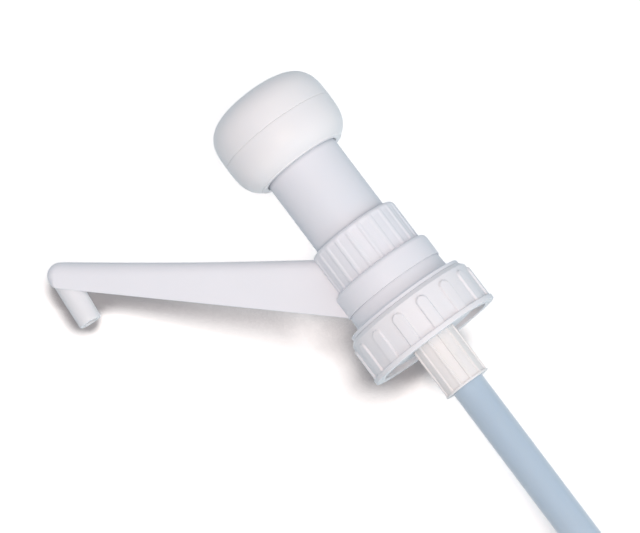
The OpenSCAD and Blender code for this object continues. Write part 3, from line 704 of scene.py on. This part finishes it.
def nozzle():
    """Pipe whose upper end lies along the arm's floor, with a square mouth."""
    axis = Vector((-math.sin(NOZZLE_LEAN), 0, -math.cos(NOZZLE_LEAN)))
    across = Vector((math.cos(NOZZLE_LEAN), 0, -math.sin(NOZZLE_LEAN)))
    centre = Vector((-ARM_TIP.x, 0, ARM_TIP.y))
    floor = Vector((-FLOOR_SIDE.x, 0, FLOOR_SIDE.y))
    seat = ARM_TIP_R - NOZZLE_SEAT_IN

    def ring(radius, drop=None):
        """Ring round the axis. With no drop its points lie on the arm's floor."""
        points = []
        for a in even_angles(PIPE_SIDES):
            side = radius * (math.cos(a) * across + math.sin(a) * Vector((0, 1, 0)))
            along = drop if drop is not None else (seat - side.dot(floor)) / axis.dot(floor)
            points.append(tuple(centre + side + along * axis))
        return points
    rings = [ring(NOZZLE_BORE_R, NOZZLE_SPIGOT_DROP), ring(NOZZLE_SPIGOT_R, NOZZLE_SPIGOT_DROP),
             ring(NOZZLE_SPIGOT_R), ring(nozzle_radius(NOZZLE_SEAT_DROP))]
    rings += [ring(nozzle_radius(drop), drop) for drop in NOZZLE_ROW_DROPS]
    mouth = rounded([(NOZZLE_R, 0, 0), (NOZZLE_R, NOZZLE_DROP, NOZZLE_ROUND),
                     (NOZZLE_BORE_R, NOZZLE_DROP, NOZZLE_ROUND), (NOZZLE_BORE_R, 0, 0)])
    rings += [ring(r, drop) for r, drop in mouth if drop > 0]
    rings.append(rings[0])
    return make_piece("nozzle_pipe", *sweep_mesh(rings, capped=False))


# Valve housing and dip tube

SLEEVE_FLUTES = 12
SLEEVE_RIB_W = 1.1
SLEEVE_FLUTE_DEPTH = 0.6
SLEEVE_FLUTE_EDGE = 0.18
SLEEVE_FLUTE_CORNER = 0.3
SLEEVE_FOOT_BAND = 1.0
SLEEVE_TOP_BAND = 0.2
SLEEVE_FIRST_RIB = math.radians(22.0)
SLEEVE_FINE_STEP = 0.16
SLEEVE_WIDE_STEP = 0.3
SLEEVE_ROW_STEP = 0.3
SLEEVE_WALL_R = SLEEVE_R - 0.1
SLEEVE_FOOT_ROUND = 0.3
SLEEVE_TOP_ROUND = 0.5
SLEEVE_BORE_R = TUBE_R + FIT_GAP
SLEEVE_BORE_ROUND = 0.2
SLEEVE_STUB_R = 8.35
SLEEVE_SEAT = -24.0
SLEEVE_THROAT_R = 6.0
TUBE_WALL = 1.25
TUBE_SLANT = math.radians(30)
TUBE_ROWS = (-90.0, -140.0, -190.0)


def valve_housing():
    outline = rounded([
        (SLEEVE_BORE_R, SLEEVE_FOOT, SLEEVE_BORE_ROUND), (SLEEVE_R, SLEEVE_FOOT, SLEEVE_FOOT_ROUND),
        (SLEEVE_R, SLEEVE_TOP, SLEEVE_TOP_ROUND), (SLEEVE_STUB_R, SLEEVE_TOP, 0),
        (SLEEVE_STUB_R, SLEEVE_SEAT, 0), (SLEEVE_THROAT_R, SLEEVE_SEAT, 0),
        (SLEEVE_THROAT_R, TUBE_TOP, 0), (SLEEVE_BORE_R, TUBE_TOP, 0)])
    flute_half = math.pi * SLEEVE_R / SLEEVE_FLUTES - SLEEVE_RIB_W / 2
    first = SLEEVE_FIRST_RIB + math.pi / SLEEVE_FLUTES
    flutes = panel_relief(SLEEVE_FLUTES, -SLEEVE_FLUTE_DEPTH, flute_half,
                          SLEEVE_FOOT + SLEEVE_FOOT_BAND, SLEEVE_TOP - SLEEVE_TOP_BAND,
                          SLEEVE_FLUTE_CORNER, SLEEVE_FLUTE_CORNER, SLEEVE_FLUTE_EDGE, SLEEVE_WALL_R, first)
    columns = panel_columns(SLEEVE_FLUTES, SLEEVE_R, flute_half, SLEEVE_FLUTE_EDGE,
                            SLEEVE_FINE_STEP, SLEEVE_WIDE_STEP, first)
    rows = refined(outline, SLEEVE_ROW_STEP, SLEEVE_WALL_R)
    return lathe("valve_housing_shell", rows, columns, flutes)


def tube_ring(radius, height):
    """Ring of the dip tube at a height, or on its slanted foot where there is none."""
    ring = []
    for a in even_angles(PIPE_SIDES):
        x, y, _ = round_point(radius, a, 0)
        foot = TUBE_FOOT + (TUBE_R + x) * math.tan(TUBE_SLANT)
        ring.append((x, y, foot if height is None else height))
    return ring


def dip_tube():
    """Tube with a slanted foot, so that it can't seal itself against the can's floor."""
    heights = (TUBE_TOP, SLEEVE_FOOT, *TUBE_ROWS, None)
    rings = [tube_ring(TUBE_R, height) for height in heights]
    rings += [tube_ring(TUBE_R - TUBE_WALL, height) for height in reversed(heights)]
    rings.append(rings[0])
    return make_piece("dip_tube_wall", *sweep_mesh(rings, capped=False))


# Nodes of materials

FLOAT, COLOR = "NodeSocketFloat", "NodeSocketColor"


def connect(tree, value, socket):
    """Gives a socket a value or a link."""
    if isinstance(value, bpy.types.NodeSocket):
        tree.links.new(value, socket)
    else:
        socket.default_value = value


def feed(tree, node, **inputs):
    """Fills a node's inputs by name. Underscores in a name stand for spaces."""
    for key, value in inputs.items():
        connect(tree, value, node.inputs[key.replace("_", " ")])


def add(tree, kind, settings=None, **inputs):
    """New node with its settings and inputs."""
    node = tree.nodes.new(kind)
    for key, value in (settings or {}).items():
        setattr(node, key, value)
    feed(tree, node, **inputs)
    return node


def in_order(tree, kind, *values, settings=None):
    """First output of a new node, whose inputs are filled in their order."""
    node = add(tree, kind, settings)
    for socket, value in zip(node.inputs, values):
        connect(tree, value, socket)
    return node.outputs[0]


def maths(tree, operation, *values):
    return in_order(tree, "ShaderNodeMath", *values, settings={"operation": operation})


def mixed(tree, share, first, second):
    """Colour between two others."""
    return add(tree, "ShaderNodeMixRGB", Fac=share, Color1=first, Color2=second).outputs[0]


def map_range(tree, value, start, end, **more):
    """Value spread from 0 at start to 1 at end, or over the range that is given."""
    node = add(tree, "ShaderNodeMapRange", Value=value, From_Min=start, From_Max=end, **more)
    return node.outputs["Result"]


def new_group(name, inputs, outputs):
    """Empty shader node group with named sockets: the group, what it is given and its output node."""
    group = bpy.data.node_groups.new(name, "ShaderNodeTree")
    for label, kind, value in inputs:
        group.interface.new_socket(label, in_out="INPUT", socket_type=kind).default_value = value
    for label, kind in outputs:
        group.interface.new_socket(label, in_out="OUTPUT", socket_type=kind)
    return group, group.nodes.new("NodeGroupInput").outputs, group.nodes.new("NodeGroupOutput")


def place_group(tree, group, **inputs):
    return add(tree, "ShaderNodeGroup", {"node_tree": group}, **inputs).outputs


# Effects that the materials share

def moulded_skin_group():
    """Cloudy colour of moulded plastic, and the fine grain that the mould leaves."""
    group, given, out = new_group(
        "moulded_skin",
        [("Color", COLOR, (0.8, 0.8, 0.8, 1)), ("Cloud Color", COLOR, (0.75, 0.76, 0.78, 1)),
         ("Cloud Share", FLOAT, 0.5), ("Clouds per metre", FLOAT, 60.0), ("Roughness", FLOAT, 0.4),
         ("Roughness Spread", FLOAT, 0.08), ("Grains per metre", FLOAT, 2600.0)],
        [("Color", COLOR), ("Roughness", FLOAT), ("Grain", FLOAT)])
    place = add(group, "ShaderNodeTexCoord").outputs["Object"]
    clouds = add(group, "ShaderNodeTexNoise", Vector=place, Scale=given["Clouds per metre"],
                 Detail=3.0, Roughness=0.55).outputs["Fac"]
    spread = add(group, "ShaderNodeMapRange", {"interpolation_type": "SMOOTHSTEP"},
                 Value=clouds, From_Min=0.38, From_Max=0.66).outputs["Result"]
    share = maths(group, "MULTIPLY", spread, given["Cloud Share"])
    uneven = maths(group, "SUBTRACT", clouds, 0.5)
    grain = add(group, "ShaderNodeTexNoise", Vector=place, Scale=given["Grains per metre"], Detail=2.0)
    feed(group, out, Color=mixed(group, share, given["Color"], given["Cloud Color"]),
         Roughness=maths(group, "MULTIPLY_ADD", uneven, given["Roughness Spread"], given["Roughness"]),
         Grain=grain.outputs["Fac"])
    return group


def rub_marks_group():
    """Thin marks that run round the pump where parts slide and hands grip."""
    group, given, out = new_group(
        "rub_marks",
        [("Marks per metre", FLOAT, 900.0), ("Length", FLOAT, 14.0), ("Share", FLOAT, 0.3)],
        [("Mask", FLOAT)])
    place = add(group, "ShaderNodeTexCoord").outputs["Object"]
    split = add(group, "ShaderNodeSeparateXYZ", Vector=place).outputs
    turn = maths(group, "ARCTAN2", split["Y"], split["X"])
    drawn_out = maths(group, "DIVIDE", turn, given["Length"])
    around = add(group, "ShaderNodeCombineXYZ", X=drawn_out, Z=split["Z"])
    noise = add(group, "ShaderNodeTexNoise", Vector=around.outputs[0], Scale=given["Marks per metre"],
                Detail=4.0, Roughness=0.7)
    thin = map_range(group, noise.outputs["Fac"], 0.62, 0.72)
    feed(group, out, Mask=maths(group, "MULTIPLY", thin, given["Share"]))
    return group


def crease_shade_group():
    """Painted shade where surfaces meet, such as at the foot of a rib: 1 deep in the corner and 0 in the
    open.
    """
    group, given, out = new_group(
        "crease_shade", [("Reach", FLOAT, 0.002), ("Share", FLOAT, 0.15)], [("Mask", FLOAT)])
    open_sky = add(group, "ShaderNodeAmbientOcclusion", {"samples": 6}, Distance=given["Reach"])
    shut = map_range(group, open_sky.outputs["AO"], 0.95, 0.3)
    feed(group, out, Mask=maths(group, "MULTIPLY", shut, given["Share"]))
    return group


MOULDED_SKIN = moulded_skin_group()
RUB_MARKS = rub_marks_group()
CREASE_SHADE = crease_shade_group()


# Materials

GRAIN_DEPTH = 0.006
RUBBED_TONE = 0.86
RUBBED_ROUGHNESS = 0.25
# Bluish darker tone of the painted shade in creases and where parts meet
CREASE_SHADE_TONE = (0.58, 0.64, 0.68)
UNDER_SKIN_RADIUS = (1.0, 0.9, 0.8)
UNDER_SKIN_DEPTH = 1.5


def empty_material(name):
    material = bpy.data.materials.new(name)
    material.use_nodes = True
    material.node_tree.nodes.clear()
    return material, material.node_tree


def new_material(name):
    material, tree = empty_material(name)
    shader = tree.nodes.new("ShaderNodeBsdfPrincipled")
    add(tree, "ShaderNodeOutputMaterial", Surface=shader.outputs[0])
    return material, tree, shader


def moulded_plastic(name, color, cloud, roughness, clouds=60.0, rubbed=0.0, gloss=0.15, glow=0.1,
                    haze=0.0, crease_shade_reach=2.0, crease_shade_share=0.15):
    """Moulded plastic: cloudy tint, fine grain, a little light under the skin, rub marks if asked, and
    painted shade in its creases.
    """
    material, tree, shader = new_material(name)
    skin = place_group(tree, MOULDED_SKIN, Color=(*color, 1), Cloud_Color=(*cloud, 1), Roughness=roughness,
                       Clouds_per_metre=clouds)
    tint, rough = skin["Color"], skin["Roughness"]
    if rubbed:
        marks = place_group(tree, RUB_MARKS, Share=rubbed)["Mask"]
        tint = mixed(tree, marks, tint, (*(RUBBED_TONE * c for c in color), 1))
        rough = maths(tree, "MULTIPLY_ADD", marks, RUBBED_ROUGHNESS, rough)
    # Painted shade: the colour darkens towards the shade tone in creases and where parts meet
    crease_shade = place_group(tree, CREASE_SHADE, Reach=crease_shade_reach * MM, Share=crease_shade_share)["Mask"]
    shade = (*(c * tone for c, tone in zip(color, CREASE_SHADE_TONE)), 1)
    bump = add(tree, "ShaderNodeBump", Strength=0.25, Distance=GRAIN_DEPTH * MM, Height=skin["Grain"])
    feed(tree, shader, Base_Color=mixed(tree, crease_shade, tint, shade), Roughness=rough, Normal=bump.outputs[0],
         Specular_IOR_Level=gloss, Subsurface_Weight=glow, Subsurface_Radius=UNDER_SKIN_RADIUS,
         Subsurface_Scale=UNDER_SKIN_DEPTH * MM, Sheen_Weight=haze)
    return material


def seal_rubber():
    material, tree, shader = new_material("seal_rubber")
    skin = place_group(tree, MOULDED_SKIN, Color=(0.035, 0.035, 0.037, 1), Roughness=0.68,
                       Cloud_Color=(0.06, 0.06, 0.058, 1), Clouds_per_metre=220.0)
    bump = add(tree, "ShaderNodeBump", Strength=0.5, Distance=0.02 * MM, Height=skin["Grain"])
    feed(tree, shader, Base_Color=skin["Color"], Roughness=skin["Roughness"], Normal=bump.outputs[0])
    return material


def bright_steel():
    material, tree, shader = new_material("bright_steel")
    skin = place_group(tree, MOULDED_SKIN, Color=(0.62, 0.61, 0.6, 1), Roughness=0.24,
                       Cloud_Color=(0.52, 0.52, 0.53, 1), Clouds_per_metre=300.0)
    marks = place_group(tree, RUB_MARKS, Share=0.6)["Mask"]
    rough = maths(tree, "MULTIPLY_ADD", marks, 0.3, skin["Roughness"])
    feed(tree, shader, Base_Color=skin["Color"], Roughness=rough, Metallic=1.0)
    return material


KNOB_WHITE = moulded_plastic("knob_white", (0.865, 0.835, 0.825), (0.845, 0.825, 0.83), 0.36, rubbed=0.12)
# Strong painted shade in creases: a dark line where the plunger meets the knob's lip and the nut's top
PLUNGER_WHITE = moulded_plastic("plunger_white", (0.78, 0.775, 0.8), (0.76, 0.765, 0.8), 0.42,
                                rubbed=0.2, crease_shade_reach=1.8, crease_shade_share=1.0)
HEAD_WHITE = moulded_plastic("head_white", (0.81, 0.795, 0.82), (0.79, 0.79, 0.81), 0.4)
# Head's white with a wide painted shade in creases, which darkens the ring towards its flange
RING_WHITE_PAINTED_SHADE = moulded_plastic("ring_white_painted_shade", (0.81, 0.795, 0.82), (0.79, 0.79, 0.81), 0.4,
                             crease_shade_reach=5.0, crease_shade_share=0.5)
CAP_WHITE = moulded_plastic("cap_white", (0.83, 0.805, 0.81), (0.81, 0.8, 0.815), 0.38, clouds=90.0)
VALVE_WHITE = moulded_plastic("valve_white", (0.855, 0.82, 0.795), (0.835, 0.81, 0.8), 0.4, clouds=120.0)
ARM_WHITE = moulded_plastic("arm_white", (0.84, 0.825, 0.845), (0.82, 0.81, 0.83), 0.46, clouds=45.0)
NOZZLE_WHITE = moulded_plastic("nozzle_white", (0.82, 0.805, 0.81), (0.8, 0.79, 0.79), 0.4, clouds=150.0)
UNDYED_PLASTIC = moulded_plastic("undyed_plastic", (0.72, 0.71, 0.67), (0.68, 0.67, 0.64), 0.5,
                                 clouds=200.0)
TUBE_BLUE = moulded_plastic("tube_blue", (0.46, 0.55, 0.637), (0.475, 0.555, 0.627), 0.6, clouds=40.0,
                            gloss=0.04, glow=0.3, haze=0.85)
RUBBER = seal_rubber()
STEEL = bright_steel()


# Pieces that stand for their nodes

def fit(piece, node, body, material):
    """Piece stands for a node, on its body and with its finish."""
    piece.data.materials.clear()
    piece.data.materials.append(material)
    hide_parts(node)
    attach(piece, body)
    return piece


fit(knob_base(), "knob_base", "plunger", KNOB_WHITE)
fit(knob_cap(), "knob_cap", "plunger", KNOB_WHITE)
fit(plunger(), "plunger_tube", "plunger", PLUNGER_WHITE)
fit(gland_nut(), "gland_nut", "pump_body", HEAD_WHITE)
fit(housing(), "housing", "pump_body", HEAD_WHITE)
fit(swivel_ring(), "swivel_ring", "pump_body", RING_WHITE_PAINTED_SHADE)
fit(screw_cap(), "screw_cap", "cap", CAP_WHITE)
fit(spout_arm(), "spout_arm", "pump_body", ARM_WHITE)
fit(nozzle(), "nozzle", "pump_body", NOZZLE_WHITE)
fit(valve_housing(), "valve_housing", "pump_body", VALVE_WHITE)
fit(dip_tube(), "dip_tube", "pump_body", TUBE_BLUE)
coil = fit(spring(), "return_spring", "pump_body", STEEL)
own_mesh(coil)

# Inner nodes that keep their own shape
INNER_FINISH = {
    "barrel": HEAD_WHITE, "barrel_flange": HEAD_WHITE,
    "cap_gasket": RUBBER, "housing_o_rings": RUBBER, "plunger_seal": RUBBER,
    "spout_o_ring": RUBBER, "inlet_gasket": RUBBER,
    "gland_bush": UNDYED_PLASTIC, "spring_washer": UNDYED_PLASTIC, "outlet_seat": UNDYED_PLASTIC,
    "outlet_ball_stop": UNDYED_PLASTIC, "inlet_seat": UNDYED_PLASTIC, "inlet_ball_cage": UNDYED_PLASTIC,
    "knob_screw": STEEL, "outlet_ball": STEEL, "inlet_ball": STEEL,
}
for node, finish in INNER_FINISH.items():
    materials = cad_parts[node].data.materials
    materials.clear()
    materials.append(finish)


# Camera

CAMERA_AIM = Vector((-19.8, 0, 41.15)) * MM
CAMERA_AWAY = 1050 * MM
CAMERA_AZIMUTH = math.radians(7)
CAMERA_ELEVATION = math.radians(-7.2)
CAMERA_ROLL = math.radians(36.8)
PIXELS_PER_MM = 2.4
FRAME_W = 640
SENSOR_W = 36.0


def camera_axes():
    """Right, up and backward directions of the rolled camera."""
    level = math.cos(CAMERA_ELEVATION)
    back = Vector((level * math.sin(CAMERA_AZIMUTH), -level * math.cos(CAMERA_AZIMUTH),
                   math.sin(CAMERA_ELEVATION)))
    right = Vector((math.cos(CAMERA_AZIMUTH), math.sin(CAMERA_AZIMUTH), 0))
    up = back.cross(right)
    turned_right = right * math.cos(CAMERA_ROLL) - up * math.sin(CAMERA_ROLL)
    turned_up = right * math.sin(CAMERA_ROLL) + up * math.cos(CAMERA_ROLL)
    return turned_right, turned_up, back


VIEW_RIGHT, VIEW_UP, VIEW_BACK = camera_axes()


def photo_camera():
    lens = bpy.data.cameras.new("photo_camera")
    lens.sensor_fit = "HORIZONTAL"
    lens.sensor_width = SENSOR_W
    lens.lens = PIXELS_PER_MM * CAMERA_AWAY / MM / FRAME_W * SENSOR_W
    camera = place_object("photo_camera", lens)
    facing = Matrix((VIEW_RIGHT, VIEW_UP, VIEW_BACK)).transposed().to_4x4()
    camera.matrix_world = Matrix.Translation(CAMERA_AIM + VIEW_BACK * CAMERA_AWAY) @ facing
    return camera


bpy.context.scene.camera = photo_camera()


# Table that the spout's mouth, the cap's rim and the tube's foot lie on

TABLE_GAP = 0.2
TABLE_SIZE = 900 * MM
TABLE_LIFT = (0.3, 0.33, 0.35)
TABLE_WHITE = (0.95, 0.88, 0.83)
TABLE_SHADE = (0.26, 0.245, 0.245)
TABLE_SHADE_LIFT = (0.1, 0.1, 0.105)
TABLE_BOUNCE = (0.51, 0.555, 0.56)
SHADE_REACH_AT_SPOUT = 9 * MM
SHADE_REACH_AT_ARM = 29 * MM
SHADE_REACH_AT_CAP = 20 * MM
SHADE_SPOUT_X = -ARM_TIP.x * MM
SHADE_ARM_X = -52 * MM
SHADE_CAP_X = -24 * MM
SHADE_START = 6 * MM
SHADE_END = 16 * MM
SHADE_OPEN = 0.9
SHADE_SHUT = 0.58
SHADE_FALL = 1.5
SHADE_LEAN = 0.7
SHADE_SAMPLES = 16


def table_plane():
    """A point on the table and its direction towards the camera."""
    mouth = Vector((-ARM_TIP.x - NOZZLE_DROP * math.sin(NOZZLE_LEAN), NOZZLE_R,
                    ARM_TIP.y - NOZZLE_DROP * math.cos(NOZZLE_LEAN)))
    rim = Vector((0, CAP_RIM_R, CAP_FOOT))
    foot = Vector((0, TUBE_R, TUBE_FOOT))
    normal = (mouth - rim).cross(foot - rim).normalized()
    if normal.y > 0:
        normal.negate()
    return (rim - normal * TABLE_GAP) * MM, normal


TABLE_POINT, TABLE_UP = table_plane()


def table():
    along = TABLE_UP.cross(VIEW_UP).normalized()
    corners = [TABLE_POINT + (along * x + TABLE_UP.cross(along) * y) * TABLE_SIZE / 2
               for x, y in ((-1, -1), (1, -1), (1, 1), (-1, 1))]
    mesh = bpy.data.meshes.new("table")
    mesh.from_pydata(corners, [], [(0, 1, 2, 3)])
    mesh.update()
    if mesh.polygons[0].normal.dot(TABLE_UP) < 0:
        mesh.flip_normals()
    mesh.materials.append(table_white())
    top = place_object("table", mesh)


def shade_reach(tree, along):
    """How far the shade reaches: longest under the arm, and shorter at the spout and at the cap."""
    from_spout = map_range(tree, along, SHADE_SPOUT_X, SHADE_ARM_X,
                           To_Min=SHADE_REACH_AT_SPOUT, To_Max=SHADE_REACH_AT_ARM)
    to_cap = map_range(tree, along, SHADE_ARM_X, SHADE_CAP_X,
                       To_Min=SHADE_REACH_AT_ARM, To_Max=SHADE_REACH_AT_CAP)
    return maths(tree, "MINIMUM", from_spout, to_cap)


def below_arm(tree, spot):
    """1 on the table up to the arm's line, and 0 beyond it."""
    tip = Vector((-ARM_TIP.x, 0, ARM_TIP.y)) * MM
    root = Vector((-ARM_TOE.x, 0, ARM_TOE.y)) * MM
    across = (root - tip).cross(TABLE_UP).normalized()
    if across.dot(VIEW_UP) < 0:
        across.negate()
    height = add(tree, "ShaderNodeVectorMath", {"operation": "DOT_PRODUCT"}, Vector=spot)
    height.inputs[1].default_value = across
    arm_line = across.dot(root)
    return map_range(tree, height.outputs["Value"], arm_line + SHADE_END, arm_line + SHADE_START)


def contact_shade(tree, spot):
    """Soft shade of the pump on the table: 1 where it is darkest and 0 in the open."""
    above = (TABLE_UP + SHADE_LEAN * VIEW_UP).normalized()
    upward = add(tree, "ShaderNodeCombineXYZ", X=above.x, Y=above.y, Z=above.z)
    along = add(tree, "ShaderNodeSeparateXYZ", Vector=spot).outputs["X"]
    open_sky = add(tree, "ShaderNodeAmbientOcclusion", {"samples": SHADE_SAMPLES},
                   Distance=shade_reach(tree, along), Normal=upward.outputs[0])
    shut = map_range(tree, open_sky.outputs["AO"], SHADE_OPEN, SHADE_SHUT)
    return maths(tree, "MULTIPLY", maths(tree, "POWER", shut, SHADE_FALL), below_arm(tree, spot))


def table_white():
    """White table that keeps the shadow, and lets the view and the lamps through from behind."""
    material, tree = empty_material("table_white")
    rays = tree.nodes.new("ShaderNodeLightPath").outputs
    spot = tree.nodes.new("ShaderNodeNewGeometry").outputs
    shade = contact_shade(tree, spot["Position"])
    bounce = add(tree, "ShaderNodeBsdfDiffuse", Color=(*TABLE_BOUNCE, 1))
    tone = mixed(tree, shade, (*TABLE_WHITE, 1), (*TABLE_SHADE, 1))
    shown = add(tree, "ShaderNodeBsdfDiffuse", Color=tone)
    paint = in_order(tree, "ShaderNodeMixShader", rays["Is Camera Ray"], bounce.outputs[0], shown.outputs[0])
    lift = mixed(tree, shade, (*TABLE_LIFT, 1), (*TABLE_SHADE_LIFT, 1))
    seen = maths(tree, "MAXIMUM", rays["Is Camera Ray"], rays["Is Glossy Ray"])
    light = add(tree, "ShaderNodeEmission", Color=lift, Strength=seen)
    lit = in_order(tree, "ShaderNodeAddShader", paint, light.outputs[0])
    clear = tree.nodes.new("ShaderNodeBsdfTransparent")
    open_way = maths(tree, "MAXIMUM", spot["Backfacing"], rays["Is Shadow Ray"])
    surface = in_order(tree, "ShaderNodeMixShader", open_way, lit, clear.outputs[0])
    add(tree, "ShaderNodeOutputMaterial", Surface=surface)
    return material


table()


# Lights

FRONT_WARM = (1.0, 0.8, 0.725)
SIDE_COOL = (0.84, 0.95, 1.0)
REAR_PLAIN = (0.96, 0.98, 1.0)
ROOM_COOL = (0.42, 0.5, 0.565)
SIDE_DIRECTION = 0.8 * VIEW_BACK + VIEW_RIGHT - 0.4 * VIEW_UP


def soft_box(name, direction, away, size, power, color):
    """Square area light that faces the middle of the view, with its lengths in metres."""
    light = bpy.data.lights.new(name, "AREA")
    light.shape = "SQUARE"
    light.size = size
    light.energy = power
    light.color = color
    back = direction.normalized()
    facing = back.to_track_quat("Z", "Y").to_matrix().to_4x4()
    place_object(name, light).matrix_world = Matrix.Translation(CAMERA_AIM + back * away) @ facing


soft_box("front_box", VIEW_BACK, away=1.3, size=0.5, power=8.3, color=FRONT_WARM)
soft_box("side_box", SIDE_DIRECTION, away=1.3, size=1.0, power=5.3, color=SIDE_COOL)
soft_box("rear_fill", -VIEW_BACK, away=1.6, size=0.7, power=13.0, color=REAR_PLAIN)


def studio_world():
    """Dim bluish room light, with a white background."""
    world = bpy.data.worlds.new("studio")
    bpy.context.scene.world = world
    world.use_nodes = True
    tree = world.node_tree
    tree.nodes.clear()
    rays = tree.nodes.new("ShaderNodeLightPath").outputs
    through = maths(tree, "MAXIMUM", rays["Is Glossy Ray"], rays["Is Transmission Ray"])
    seen = maths(tree, "MAXIMUM", rays["Is Camera Ray"], through)
    room = add(tree, "ShaderNodeBackground", Color=(*ROOM_COOL, 1), Strength=1.0)
    white = add(tree, "ShaderNodeBackground", Color=(1, 1, 1, 1), Strength=1.0)
    surface = in_order(tree, "ShaderNodeMixShader", seen, room.outputs[0], white.outputs[0])
    add(tree, "ShaderNodeOutputWorld", Surface=surface)


studio_world()
bpy.context.scene.view_settings.view_transform = "Standard"
